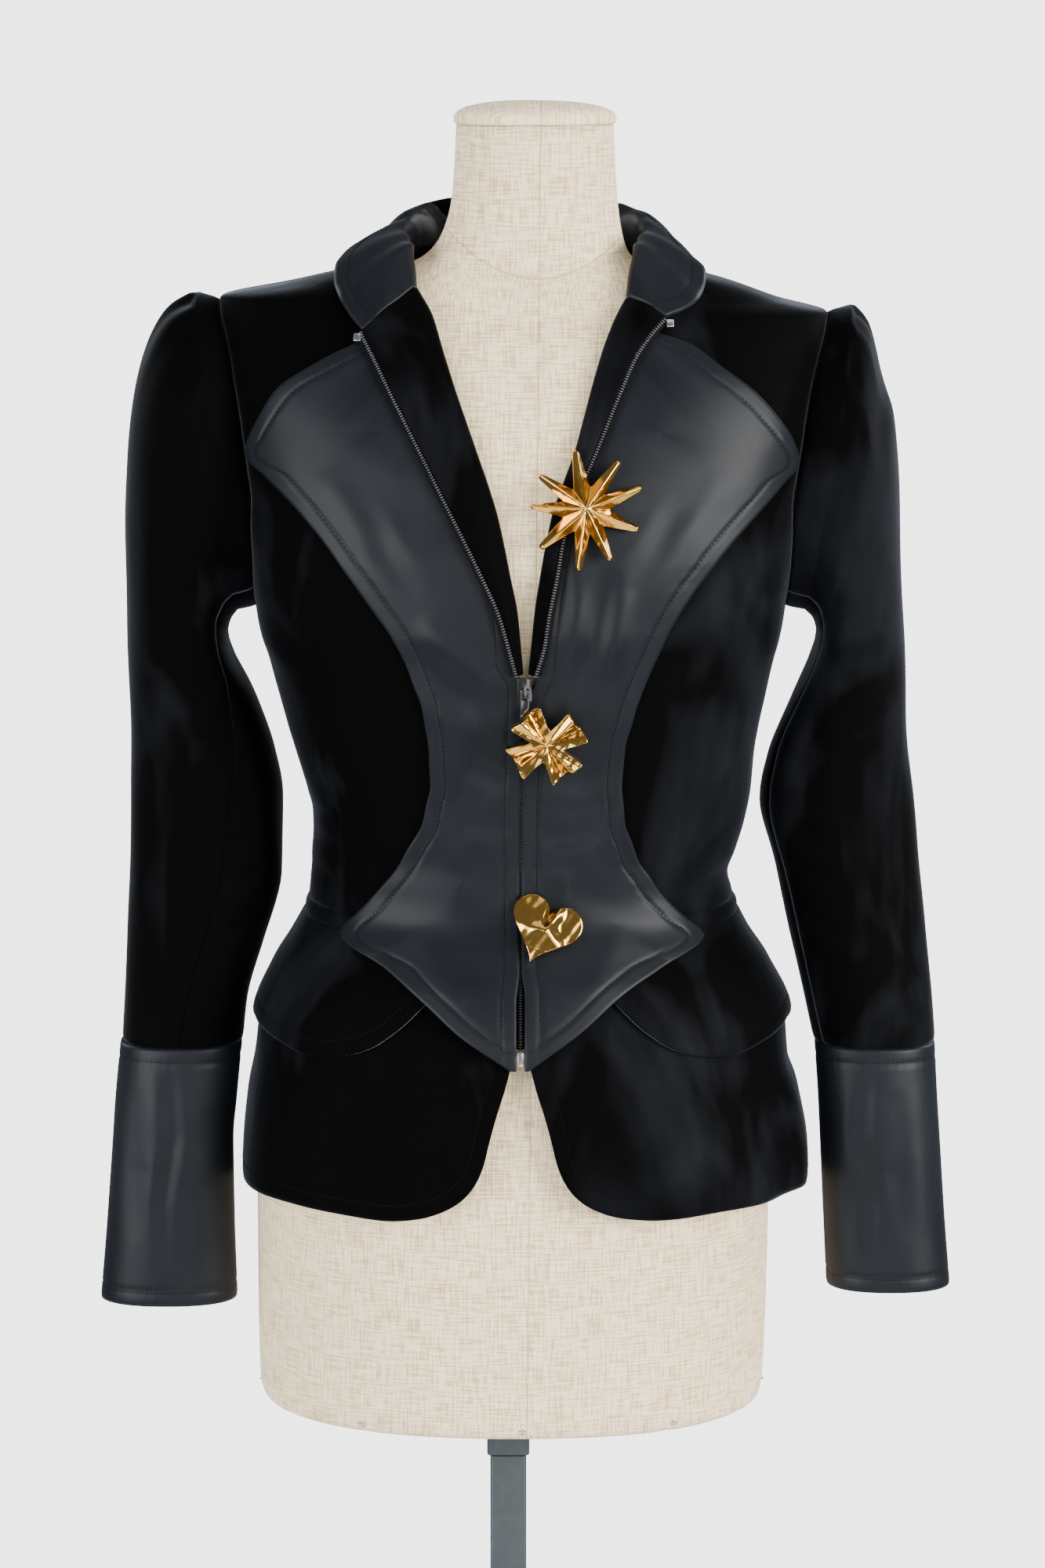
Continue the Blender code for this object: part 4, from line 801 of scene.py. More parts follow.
def plastron(side):
    """The satin overlay on the front."""
    table = PLASTRON_LEFT if side > 0 else PLASTRON_RIGHT
    marks = column(table, "height")
    height = []
    for low, high in zip(marks[:-1], marks[1:]):
        steps = 2 if high - low > 24 else 1
        height.extend(np.linspace(low, high, steps + 1)[:-1])
    height = np.array(height + [marks[-1]])
    edge = side * straight(table, "edge", height)
    gap = np.where(height < 1000, 2.6, 0.6)
    inner = fold_edge(side, height, gap)
    edge = np.where(side * (edge - inner) < 1.5, inner + side * 1.5, edge)
    turn = blend_rows(turn_at_x(inner, height), turn_at_x(edge, height), 8, CROWD)
    grid_height = blend_rows(height, height, 8)

    def satin_creases(turn, height, plain):
        return 1.7 * creases(plain[..., 0], height, SATIN_CREASES) + 0.25 * np.sin(height * 0.11) * np.sin(turn * 13 + height * 0.03)

    body_cloth(
        "plastron_" + side_name(side), turn, grid_height, lambda z: read(LIFT, "plastron", z), SATIN_WALL, "satin",
        5, 12, stitched=("first", "last"), extra=satin_creases,
    )


def band(side):
    """The narrow band at the waist."""
    start = turn_at_x(np.array([CENTRE_LOW + side * 6.4]), np.array([WAIST]))[0]
    turn = np.linspace(start, side * (math.pi - HALF_SEAM), 26)
    turn = np.stack([turn, turn])
    height = np.stack([BAND_BOTTOM + 0 * turn[0], WAIST + 0 * turn[0]])

    def roll(turn, height, plain):
        return 0.5 * np.cos((height - (BAND_BOTTOM + WAIST) / 2) / 8.0 * math.pi)

    body_cloth(
        "waistband_" + side_name(side), turn, height, 0.0, WALL, "velvet", 9, 5, seams=("top", "bottom"), extra=roll,
    )


def flute(turn, height):
    grow = np.clip((UPPER_HEM + 12 - height) / 100.0, 0, 1) ** 1.3
    out = 0.0
    for place, spread, depth in FLUTES["rows"]:
        off = (np.degrees(turn) - place + 180) % 360 - 180
        out = out + depth * np.exp(-((off / spread) ** 2))
    return out * grow


def tier(side, name, hems, open_front, rows, columns, lift_name, extra):
    sides = np.concatenate([column(hems, "side")[:-1], [0]])
    hem_values = column(hems, "hem")
    front_turn = turn_at_x(side * sides[:-1] + CENTRE_LOW, hem_values[:-1])
    last = front_turn[-1]
    rest = np.linspace(last, side * (math.pi - HALF_SEAM), columns - len(front_turn) + 1)[1:]
    turns = np.concatenate([front_turn, rest])
    hem = np.concatenate([hem_values[:-1], hem_values[-1] + 0 * rest])
    share = np.linspace(0, 1, rows)[:, None]
    height = hem[None, :] * (1 - share) + TIER_TOP * share
    turn = np.tile(turns, (rows, 1))
    if open_front:
        top_turn = turn_at_x(np.full(len(front_turn), CENTRE_LOW + side * 6.4), np.full(len(front_turn), TIER_TOP))
        spread = np.linspace(0, 1, len(front_turn))
        top = top_turn * (1 - spread) + last * spread
        turn[:, : len(front_turn)] = front_turn * (1 - share) + top * share
    body_cloth(
        name + "_" + side_name(side), turn, height, lambda z: read(LIFT, lift_name, z), WALL, "velvet",
        44 // (rows - 1), 5, seams=("top",), stitched=("bottom",), extra=extra,
    )


def peplum(side):
    def upper(turn, height, plain):
        front = np.clip(np.cos(turn) * 4, 0, 1)
        return front * creases(plain[..., 0], height, TIER_CREASES)

    tier(side, "upper_peplum", UPPER_HEMS, False, 4, 28, "upper", upper)
    tier(side, "lower_peplum", LOWER_HEMS, True, 5, 34, "lower", lambda t, h, p: flute(t, h))


LAPEL_STEPS = 10
ROLL_ROOM = 0.85
BEND_STEPS = 4
ROLL_PLACE = 0.36


def lapel_section(side, share):
    table = lapel_table(side)
    fold_x, fold_z = along(table, "fold_x", share), along(table, "fold_z", share)
    free_x, free_z = along(table, "free_x", share), along(table, "free_z", share)
    width = math.hypot(free_x - fold_x, free_z - fold_z)
    way = ((free_x - fold_x) / width, (free_z - fold_z) / width)
    puff = min(width * 0.10, 3.0)
    top = float(read(LIFT, "plastron", fold_z))
    middle = (top - WALL) / 2
    roll = (top + WALL) / 2 + ROLL_ROOM
    nose = roll + LINING_WALL
    over, under = [], []
    for rank, radius in ((over, nose), (under, roll)):
        for step in range(LAPEL_STEPS):
            if step == 0:
                inset, lift = nose + 4.5, middle - radius
            elif step <= BEND_STEPS + 1:
                bend = math.pi * (step - 1) / BEND_STEPS
                inset = nose - radius * math.sin(bend)
                lift = middle - radius * math.cos(bend)
            else:
                part = (step - BEND_STEPS - 1) / (LAPEL_STEPS - BEND_STEPS - 2)
                inset = nose + max(width - nose, 1.5) * part
                lift = middle + radius + puff * math.sin(math.pi * part * 0.8) + 0.3 * part
            x = fold_x + way[0] * inset
            z = fold_z + way[1] * inset
            turn = turn_at_x(np.array([x]), np.array([z]))
            fold = body_creases(turn, np.array([z]))
            rank.append(lifted(turn, np.array([z]), np.array([lift]) + fold)[0])
    return np.array(over), np.array(under)


def facing(side):
    """The narrow velvet lapel, rolled outward."""
    shares = np.linspace(0, 1, 19)
    pairs = [lapel_section(side, s) for s in shares]
    over = finer(np.array([p[0] for p in pairs]), 5, 4)
    under = finer(np.array([p[1] for p in pairs]), 5, 4)
    name = "facing_" + side_name(side)
    dressed(cloth_wall(name + "_cloth", over, under, "velvet"), name, finish="velvet")


def collar_rows(side):
    table = COLLAR_LEFT if side > 0 else COLLAR_RIGHT
    first, first_under = lapel_section(side, 1.0)
    before = lapel_section(side, 0.98)[0]
    shift = (first - before) / np.linalg.norm(first - before, axis=1, keepdims=True) * SEAM
    rows = [first + shift]
    share = np.linspace(0, 1, LAPEL_STEPS)[:, None]
    for degrees, *places in table["rows"]:
        turn = np.array([side * math.radians(degrees)])
        if degrees < 95:
            level = height_at_x(turn, surface(BODY, side * NECK_TURN, NECK_POINT)[0] * 0.96)
        else:
            level = np.interp([degrees], (95, 177), (NECK_POINT, NECK_BACK))
        foot = lifted(turn, level, np.array([-0.9]))[0] - np.array([0, 0, 0.8])
        roll, edge = (np.array(places[k : k + 3], float) * (side, 1, 1) for k in (0, 3))
        pull = (roll - foot * (1 - ROLL_PLACE) ** 2 - edge * ROLL_PLACE**2) / (2 * ROLL_PLACE * (1 - ROLL_PLACE))
        rows.append(foot * (1 - share) ** 2 + pull * 2 * share * (1 - share) + edge * share**2)
    return rows, first_under + shift


def refine(rows, count):
    rows = np.array(rows)
    at = np.linspace(0, len(rows) - 1, count)
    knots = np.arange(len(rows))
    flat = rows.reshape(len(rows), -1)
    smooth = np.stack([monotone(knots, flat[:, k], at) for k in range(flat.shape[1])], 1)
    return smooth.reshape(count, rows.shape[1], 3)


def collar_wave(grid, side):
    """Slack of the fallen collar, more toward its free edge."""
    rows, cols = grid.shape[:2]
    n = normals_of(grid)
    if n[rows // 2, cols - 3, 2] < 0:
        n = -n
    along_way = np.linspace(0, 1, rows)[:, None]
    across = np.linspace(0, 1, cols)[None, :]
    wave = 1.1 * np.sin(along_way * 17 + side) * across**1.5 + 0.6 * np.sin(along_way * 31 + 2 * across)
    wave = wave * np.sin(math.pi * np.clip(along_way, 0, 1)) ** 0.5
    return n, wave


def collar(side):
    rows, first_under = collar_rows(side)
    whole = refine(rows, 13)
    n = normals_of(whole)
    if n[len(n) // 2, LAPEL_STEPS - 2, 2] < 0:
        n = -n
    under = whole - n * COLLAR_WALL
    under[0] = first_under
    cut = 9
    for k in range(1, len(whole)):
        moved = clear_of_body(under[k], 0.9) - under[k]
        moved[:3] = 0
        under[k] += moved
        whole[k] += moved
    satin, satin_under = whole[: cut + 1].copy(), under[: cut + 1].copy()
    back = satin[-2] - satin[-1]
    back *= SEAM / np.linalg.norm(back, axis=1, keepdims=True)
    satin[-1] += back
    satin_under[-1] += back
    over, below = finer(satin, 9, 5), finer(satin_under, 9, 5)
    n, wave = collar_wave(over, side)
    wave = wave + stitch_press(over, ("last",))
    over, below = over + n * wave[..., None], below + n * wave[..., None]
    name = "collar_" + side_name(side)
    dressed(cloth_wall(name + "_cloth", over, below, "satin"), name, finish="satin")
    return whole[cut:], under[cut:]


def collars():
    ends = {side: collar(side) for side in (-1, 1)}
    over = np.concatenate([ends[-1][0], ends[1][0][::-1]])
    under = np.concatenate([ends[-1][1], ends[1][1][::-1]])
    for end, beside in ((0, 1), (-1, -2)):
        away = over[beside] - over[end]
        away *= 0.6 * SEAM / np.linalg.norm(away, axis=1, keepdims=True)
        over[end] += away
        under[end] += away
    piece = cloth_wall("collar_back_cloth", finer(over, 6, 5), finer(under, 6, 5), "velvet")
    dressed(piece, "collar_back", finish="velvet")


def sleeve_table(side):
    return SLEEVE_LEFT if side > 0 else SLEEVE_RIGHT


HEAD_PLEATS = 6
HEAD_PLEAT_DEPTH = 2.4
HEAD_PLEAT_REACH = 95.0


def head_pleats(side, angle, drop):
    """Gathers of the sleeve head, fading down the sleeve, uneven from one to the next."""
    fade = np.clip(1 - drop / HEAD_PLEAT_REACH, 0, 1) * np.clip(drop / 9.0, 0, 1)
    crown = np.clip(np.cos(angle) * 1.6, 0, 1)
    uneven = angle + 0.09 * np.sin(5 * angle + side) + 0.05 * np.sin(11 * angle)
    wave = np.cos(HEAD_PLEATS * 2 * uneven)
    return HEAD_PLEAT_DEPTH * fade * crown * wave


def sleeve_ring(side, share, angle, grow):
    table = sleeve_table(side)
    inner = np.array([side * along(table, "inner_x", share), along(table, "inner_z", share)])
    outer = np.array([side * along(table, "outer_x", share), along(table, "outer_z", share)])
    depth = along(table, "depth", share) + grow
    middle_y = along(table, "middle_y", share)
    centre = (inner + outer) / 2
    half = outer - centre
    length = np.hypot(*half)
    way = half / length
    c, s = np.cos(angle), np.sin(angle)
    reach = (np.abs(s) ** SLEEVE_POWER + np.abs(c) ** SLEEVE_POWER) ** (-1 / SLEEVE_POWER)
    out = head_pleats(side, angle, share * 420.0)
    along_way = reach * c * (length + grow) + out * c
    y = middle_y - (reach * s * depth + out * s)
    return np.stack([centre[0] + way[0] * along_way, y, centre[1] + way[1] * along_way], axis=-1)


def armhole_ring(side, angle, inset):
    turn, height = armhole(side, angle)
    points = surface(BODY, turn, height)
    middle = np.array([0.0, 2.0, (shoulder_tip(side) + ARMPIT) / 2])
    away = points - middle
    away[:, 0] = 0
    away /= np.linalg.norm(away, axis=1, keepdims=True)
    points = points - away * inset
    points[:, 0] += side * 0.08
    return points


BACK_SEAM = -122


def seam_angles(side, share, upper, columns):
    front = math.radians(along(sleeve_table(side), "seam", share))
    back = math.radians(BACK_SEAM)
    first, last = (back, front) if upper else (front, back + 2 * math.pi)
    edge = SEAM / 2 / 55.0
    return np.linspace(first + edge, last - edge, columns)


def sleeve_grid(side, upper, columns, inset):
    shares = np.concatenate([[0.0, 0.02, 0.05, 0.09], np.linspace(0.15, 1.0, 8)])
    shares = finer(shares[:, None] * np.ones((1, 2)), 12, 1)[:, 0]
    grid = []
    at_armhole = armhole_ring(side, seam_angles(side, 0.0, upper, columns), inset)
    first = sleeve_ring(side, 0.0, seam_angles(side, 0.0, upper, columns), -inset)
    for part in np.linspace(0, 1, 9)[:-1]:
        grid.append(at_armhole * (1 - part) + first * part)
    for share in shares:
        grid.append(sleeve_ring(side, share, seam_angles(side, share, upper, columns), -inset))
    angles = np.array([seam_angles(side, s, upper, columns) for s in np.concatenate([np.zeros(8), shares])])
    return np.array(grid), angles


def sleeve(side):
    """The upper and under sleeve."""
    front_rows = SLEEVE_LEFT_FRONT if side > 0 else SLEEVE_RIGHT_FRONT
    back_rows = SLEEVE_LEFT_BACK if side > 0 else SLEEVE_RIGHT_BACK
    for kind, upper, columns in (("sleeve_upper_", True, 121), ("sleeve_under_", False, 41)):
        name = kind + side_name(side)
        outer, angles = sleeve_grid(side, upper, columns, 0.0)
        inner, _ = sleeve_grid(side, upper, columns, WALL)
        n = outer - inner
        n /= np.maximum(np.linalg.norm(n, axis=-1, keepdims=True), 1e-6)
        x, z = side * outer[..., 0], outer[..., 2]
        to_front = np.clip(np.sin(angles) * 3 + 0.5, 0, 1)
        move = to_front * creases(x, z, front_rows) + (1 - to_front) * creases(x, z, back_rows)
        move = move * np.clip((np.arange(len(outer))[:, None] - 6) / 8, 0, 1)
        move = move + seam_press(outer, ("first", "last", "top", "bottom"), depth=0.7)
        move = move + 0.35 * np.sin(angles * 5 + z * 0.02) * np.sin(z * 0.051 + angles)
        outer, inner = outer + n * move[..., None], inner + n * move[..., None]
        dressed(cloth_wall(name + "_cloth", outer, inner, "velvet"), name, finish="velvet")


def cuff(side):
    """The deep satin cuff."""
    table = CUFF_LEFT if side > 0 else CUFF_RIGHT
    angle = np.linspace(0, 2 * math.pi, 133)[:-1]
    outer, inner = [], []
    for share in np.linspace(0, 1, 85):
        inner_x, outer_x = along(table, "inner_x", share), along(table, "outer_x", share)
        half, centre = (outer_x - inner_x) / 2, side * (outer_x + inner_x) / 2
        depth, middle, height = (along(table, k, share) for k in ("depth", "middle_y", "height"))
        c, s = np.cos(angle), np.sin(angle)
        power = 2.3
        reach = (np.abs(s) ** power + np.abs(c) ** power) ** (-1 / power)
        for rank, less in ((outer, 0.0), (inner, WALL)):
            x = centre + side * reach * c * (half - less)
            y = middle - reach * s * (depth - less)
            rank.append(np.stack([x, y, height + 0 * x], axis=-1))
    outer, inner = np.array(outer), np.array(inner)
    n = outer - inner
    n /= np.linalg.norm(n, axis=-1, keepdims=True)
    x, z = side * outer[..., 0], outer[..., 2]
    rows = CUFF_CREASES
    back_rows = tuple((d, h, *((px + 3, pz) for px, pz in p)) for d, h, *p in rows[::-1])
    to_front = np.clip(np.sin(angle) * 3 + 0.5, 0, 1)[None, :]
    move = to_front * creases(x, z, rows) - (1 - to_front) * creases(x, z, back_rows)
    move = move + stitch_press(outer, ("top", "bottom"))
    outer, inner = outer + n * move[..., None], inner + n * move[..., None]
    name = "cuff_" + side_name(side)
    dressed(cloth_wall(name + "_cloth", outer, inner, "satin", wrap=True), name, finish="satin")


def zip_tapes(side):
    """The closed stretch of the zip's tape."""
    height = np.linspace(957, 1182, 12)
    inner = turn_at_x(centre_x(height) + side * 0.3, height)
    outer = turn_at_x(centre_x(height) + side * 5.6, height)
    turn = blend_rows(inner, outer, 3)
    level = blend_rows(height, height, 3)
    body_cloth(
        "zip_tape_" + side_name(side), turn, level,
        lambda z: np.interp(z, (957, 1000, 1020, 1032, 1040), (-2.8, -3.4, -3.4, -0.6, -0.4)),
        TAPE_WALL, "zip", 8, 3,
    )


EDGE_LIFT = 6.2


def zip_edges(side):
    """The open stretch of the tape, along the lapel's free edge."""
    table = lapel_table(side)
    over, under = [], []
    for share in np.linspace(0.0, 0.98, 61):
        x, z = along(table, "free_x", share), along(table, "free_z", share)
        turns = turn_at_x(x + side * np.array([0.9, 3.0, 5.0]), np.full(3, z))
        level = np.full(3, z)
        fold = body_creases(turns, level)
        over.append(lifted(turns, level, np.full(3, EDGE_LIFT) + fold))
        under.append(lifted(turns, level, np.full(3, EDGE_LIFT - 1.3) + fold))
    name = "zip_edge_" + side_name(side)
    dressed(cloth_wall(name + "_cloth", finer(over, 1, 3), finer(under, 1, 3), "zip"), name, finish="zip")


# Shader maths as Python expressions.


class Wire:
    """One socket of a material's nodes, with the sums that are used on it."""

    def __init__(self, made, socket):
        self.made, self.socket = made, socket

    def _math(self, kind, a, b=None):
        return self.made.node("ShaderNodeMath", {"operation": kind}, [a] if b is None else [a, b])

    def __add__(self, other):
        return self._math("ADD", self, other)

    __radd__ = __add__

    def __mul__(self, other):
        return self._math("MULTIPLY", self, other)

    __rmul__ = __mul__

    def __sub__(self, other):
        return self._math("SUBTRACT", self, other)

    def __rsub__(self, other):
        return self._math("SUBTRACT", other, self)

    def __truediv__(self, other):
        return self._math("DIVIDE", self, other)

    def __pow__(self, other):
        return self._math("POWER", self, other)

    def sine(self):
        return self._math("SINE", self)

    def size(self):
        return self._math("ABSOLUTE", self)

    def least(self, other):
        return self._math("MINIMUM", self, other)

    def most(self, other):
        return self._math("MAXIMUM", self, other)


class Finish:
    """A material made from nodes, one call for each."""

    def __init__(self, name):
        self.material = bpy.data.materials.new(name)
        self.material.use_nodes = True
        self.nodes = self.material.node_tree.nodes
        self.links = self.material.node_tree.links
        self.shader = self.nodes["Principled BSDF"]

    def node(self, kind, settings=None, values=(), out=0):
        made = self.nodes.new(kind)
        for key, value in (settings or {}).items():
            if key == "stops":
                ramp = made.color_ramp
                while len(ramp.elements) < len(value):
                    ramp.elements.new(0.5)
                for element, (place, colour) in zip(ramp.elements, value):
                    element.position = place
                    element.color = (*colour, 1.0) if len(colour) == 3 else colour
            else:
                setattr(made, key, value)
        pairs = values.items() if isinstance(values, dict) else enumerate(values)
        for key, value in pairs:
            if isinstance(value, Wire):
                self.links.new(value.socket, made.inputs[key])
            else:
                made.inputs[key].default_value = value
        return Wire(self, made.outputs[out])

    def place(self, own_map=False):
        """Where a point is on the object, or on the cloth's own map."""
        if own_map:
            return self.node("ShaderNodeUVMap", {"uv_map": "Cloth"})
        return self.node("ShaderNodeTexCoord", out="Object")

    def turned(self, where, scale=(1, 1, 1), angle=0.0):
        return self.node("ShaderNodeMapping", {}, {"Vector": where, "Scale": scale, "Rotation": (0, 0, angle)})

    def noise(self, where, scale, detail=3.0, rough=0.55, distort=0.0):
        return self.node(
            "ShaderNodeTexNoise", {}, {"Vector": where, "Scale": scale, "Detail": detail, "Roughness": rough, "Distortion": distort}
        )

    def ramp(self, value, *stops):
        return self.node("ShaderNodeValToRGB", {"stops": stops}, [value])

    def mix(self, share, a, b):
        made = self.nodes.new("ShaderNodeMix")
        made.data_type = "RGBA"
        for key, value in ((0, share), (6, a), (7, b)):
            if isinstance(value, Wire):
                self.links.new(value.socket, made.inputs[key])
            else:
                made.inputs[key].default_value = (*value, 1.0) if key else value
        return Wire(self, made.outputs[2])

    def bump(self, height, strength, distance, under=None):
        values = {"Height": height, "Strength": strength, "Distance": distance}
        if under is not None:
            values["Normal"] = under
        return self.node("ShaderNodeBump", {}, values)

    def parts(self, where):
        split = self.nodes.new("ShaderNodeSeparateXYZ")
        self.links.new(where.socket, split.inputs[0])
        return [Wire(self, split.outputs[k]) for k in range(3)]

    def done(self, **sockets):
        for key, value in sockets.items():
            socket = self.shader.inputs[key.replace("_", " ")]
            if isinstance(value, Wire):
                self.links.new(value.socket, socket)
            else:
                socket.default_value = value
        return self.material


def velvet_finish():
    """Black cotton velvet: dark in the pile, with grey-blue sheen highlights painted into its colour in soft streaks,
    brighter toward +X, the side that the key lamp lights.
    """
    f = Finish("black_velvet")
    where = f.place()
    x, _, _ = f.parts(where)
    nap_and_painted_sheen = f.noise(f.turned(where, (1.0, 1.0, 0.42)), 13.0, 3.0, 0.55, 0.5)
    brushed_bump_and_painted_sheen = f.noise(f.turned(where, (1.0, 1.0, 0.30)), 55.0, 3.0)
    pile = f.noise(where, 900.0, 2.0, 0.7)
    # Painted sheen: how much grey-blue highlight is painted in, in soft streaks, more toward +X where the key lamp
    # lights.
    share = (nap_and_painted_sheen + x * 0.30 - 0.52).most(0.0) * 5.0 * (brushed_bump_and_painted_sheen * 0.9 + 0.5)
    # Near black for the pile, grey-blue for the painted sheen highlight.
    colour = f.mix(share.least(1.0), (0.0002, 0.0002, 0.0003), (0.0078, 0.0086, 0.0112))
    rough = nap_and_painted_sheen * 0.18 + 0.66
    soft = f.bump(nap_and_painted_sheen * 0.7 + brushed_bump_and_painted_sheen * 0.3, 0.30, 0.004)
    normal = f.bump(pile, 0.35, 0.0004, soft)
    return f.done(
        Base_Color=colour, Roughness=rough, Normal=normal, Sheen_Weight=0.30, Sheen_Roughness=0.28,
        Sheen_Tint=(0.52, 0.58, 0.68, 1.0), Specular_IOR_Level=0.04,
    )


def satin_finish():
    """Charcoal satin: a close weave with soft sheen, threads running down the piece, with the light and shade of soft
    folds painted into its colour in cloudy patches.
    """
    f = Finish("charcoal_satin")
    where = f.place(own_map=True)
    threads = f.noise(f.turned(where, (900.0, 60.0, 1.0)), 1.0, 2.0, 0.6)
    picks = f.noise(f.turned(where, (70.0, 1400.0, 1.0)), 1.0, 2.0, 0.6)
    painted_shade_and_unevenness = f.noise(where, 9.0, 3.0, 0.6)
    # Painted shade and light: cloudy patches span a fourfold range of colour, standing in for soft folds at random
    # places. The thread tone is the satin's own.
    colour = f.mix((painted_shade_and_unevenness * 1.5 - 0.35).most(0.0).least(1.0) * 0.75 + threads * 0.25, (0.0026, 0.0034, 0.0050), (0.0106, 0.0132, 0.0180))
    rough = threads * 0.10 + painted_shade_and_unevenness * 0.08 + 0.33
    normal = f.bump(threads * 0.5 + picks * 0.5, 0.12, 0.0003, f.bump(painted_shade_and_unevenness, 0.10, 0.003))
    return f.done(
        Base_Color=colour, Roughness=rough, Normal=normal, Sheen_Weight=0.05, Sheen_Roughness=0.35,
        Sheen_Tint=(0.75, 0.82, 0.95, 1.0), Specular_IOR_Level=0.16, Anisotropic=0.35,
    )


def linen_finish():
    """Natural linen: plain weave with slubs both ways."""
    f = Finish("natural_linen")
    where = f.place(own_map=True)
    u, v, _ = f.parts(where)
    wobble = f.noise(where, 40.0, 2.0) * 0.0016
    across = ((u + wobble) * (2 * math.pi / 0.00125)).sine()
    down = ((v + wobble) * (2 * math.pi / 0.00135)).sine()
    weave = across.size() * 0.5 + down.size() * 0.5
    slub_down = f.noise(f.turned(where, (780.0, 55.0, 1.0)), 1.0, 1.0, 0.6)
    slub_across = f.noise(f.turned(where, (55.0, 780.0, 1.0)), 1.0, 1.0, 0.6)
    slub = (slub_down - 0.5) * 2.9 + (slub_across - 0.5) * 2.9 + 0.66
    age = f.noise(where, 7.0, 3.0)
    base = f.mix(slub.most(0.0).least(1.0), (0.56, 0.36, 0.17), (1.0, 0.84, 0.55))
    colour = f.mix(weave * 0.25, base, (1.0, 0.87, 0.60))
    colour = f.mix((age - 0.5).most(0.0) * 0.6, colour, (0.66, 0.55, 0.40))
    colour = f.mix((f.noise(where, 3.1, 2.0) - 0.5).most(0.0) * 1.6, colour, (1.0, 0.84, 0.56))
    x, y, z = f.parts(f.place())
    front = (y * -60.0).least(1.0).most(0.0)
    aside = x - 0.0060 - (z - 0.71) * 0.0104
    down_front = (1.0 - aside.size() / 0.0008).most(0.0)
    round_neck = z - 1.424 - (x - 0.013) * (x - 0.013) * 9.0
    neck_seam = (1.0 - round_neck.size() / 0.0010).most(0.0)
    seam = down_front.most(neck_seam) * front
    colour = f.mix(seam * 0.75, colour, (0.42, 0.31, 0.19))
    beside = (aside.size().least(round_neck.size()) / 0.004).least(1.0)
    puckered = f.bump(beside * front, 0.5, 0.0012)
    normal = f.bump(weave * 0.6 + slub * 0.5, 0.55, 0.0007, puckered)
    return f.done(Base_Color=colour, Roughness=age * 0.1 + 0.82, Normal=normal, Specular_IOR_Level=0.25, Sheen_Weight=0.15)


def tape_finish():
    """Ribbed black tape of the zip."""
    f = Finish("black_zip_tape")
    where = f.place()
    x, y, z = f.parts(where)
    rib = (z * (2 * math.pi / 0.0012)).sine()
    fuzz = f.noise(where, 500.0, 2.0)
    colour = f.mix(fuzz, (0.0010, 0.0010, 0.0012), (0.0040, 0.0040, 0.0046))
    normal = f.bump(rib * 0.5 + fuzz * 0.5, 0.3, 0.0003)
    return f.done(Specular_IOR_Level=0.1, Base_Color=colour, Roughness=fuzz * 0.15 + 0.65, Normal=normal)


def thread_finish(name, colour):
    """Twisted sewing thread."""
    f = Finish(name)
    where = f.place()
    twist = f.noise(f.turned(where, (1.0, 1.0, 1.0), 0.6), 1500.0, 1.0)
    tint = f.mix(twist, tuple(c * 0.6 for c in colour), colour)
    return f.done(Base_Color=tint, Roughness=twist * 0.2 + 0.6, Normal=f.bump(twist, 0.3, 0.0002), Specular_IOR_Level=0.1)


def metal_finish(name, dark, bright, rough, wear, grain=300.0, metallic=1.0, coat=0.0):
    """Metal with faint cloudiness, fine grain and rubbed places."""
    f = Finish(name)
    where = f.place()
    cloud = f.noise(where, 45.0, 3.0)
    fine = f.noise(where, grain, 2.0, 0.6)
    rubbed = (f.noise(where, 120.0, 4.0, 0.7) - 0.55).most(0.0) * 3.0
    colour = f.mix(cloud * 0.6 + fine * 0.4, dark, bright)
    colour = f.mix(rubbed.least(1.0) * wear, colour, tuple(min(1.0, c * 1.5) for c in bright))
    roughness = rough + fine * 0.10 + cloud * 0.05
    return f.done(
        Base_Color=colour, Roughness=roughness, Metallic=metallic, Coat_Weight=coat, Coat_Roughness=0.06,
        Normal=f.bump(fine, 0.05, 0.0004),
    )


FINISH = {
    "velvet": velvet_finish(),
    "satin": satin_finish(),
    "linen": linen_finish(),
    "zip": tape_finish(),
    "thread": thread_finish("charcoal_thread", (0.004, 0.0045, 0.006)),
    "dark_thread": thread_finish("black_thread", (0.0045, 0.0045, 0.0055)),
    "black_metal": metal_finish("black_enamelled_metal", (0.006, 0.006, 0.007), (0.016, 0.016, 0.018), 0.10, 0.2, metallic=0.0, coat=1.0),
    # The zip's coil is black; its grey lighter colour is a painted highlight, so that the teeth show as light dots.
    "coil_painted_highlights": metal_finish("zip_coil_painted_highlights", (0.010, 0.010, 0.012), (0.075, 0.075, 0.085), 0.20, 0.3, metallic=0.0, coat=0.8),
    "steel": metal_finish("polished_steel", (0.52, 0.52, 0.53), (0.72, 0.72, 0.72), 0.16, 0.3),
    "gold": metal_finish("polished_gold", (0.70, 0.36, 0.06), (0.88, 0.53, 0.14), 0.05, 0.30),
    "dark_steel": metal_finish("dark_painted_steel", (0.040, 0.050, 0.055), (0.075, 0.088, 0.095), 0.38, 0.4, metallic=0.65),
}


# Pieces that repeat, made by Geometry Nodes.


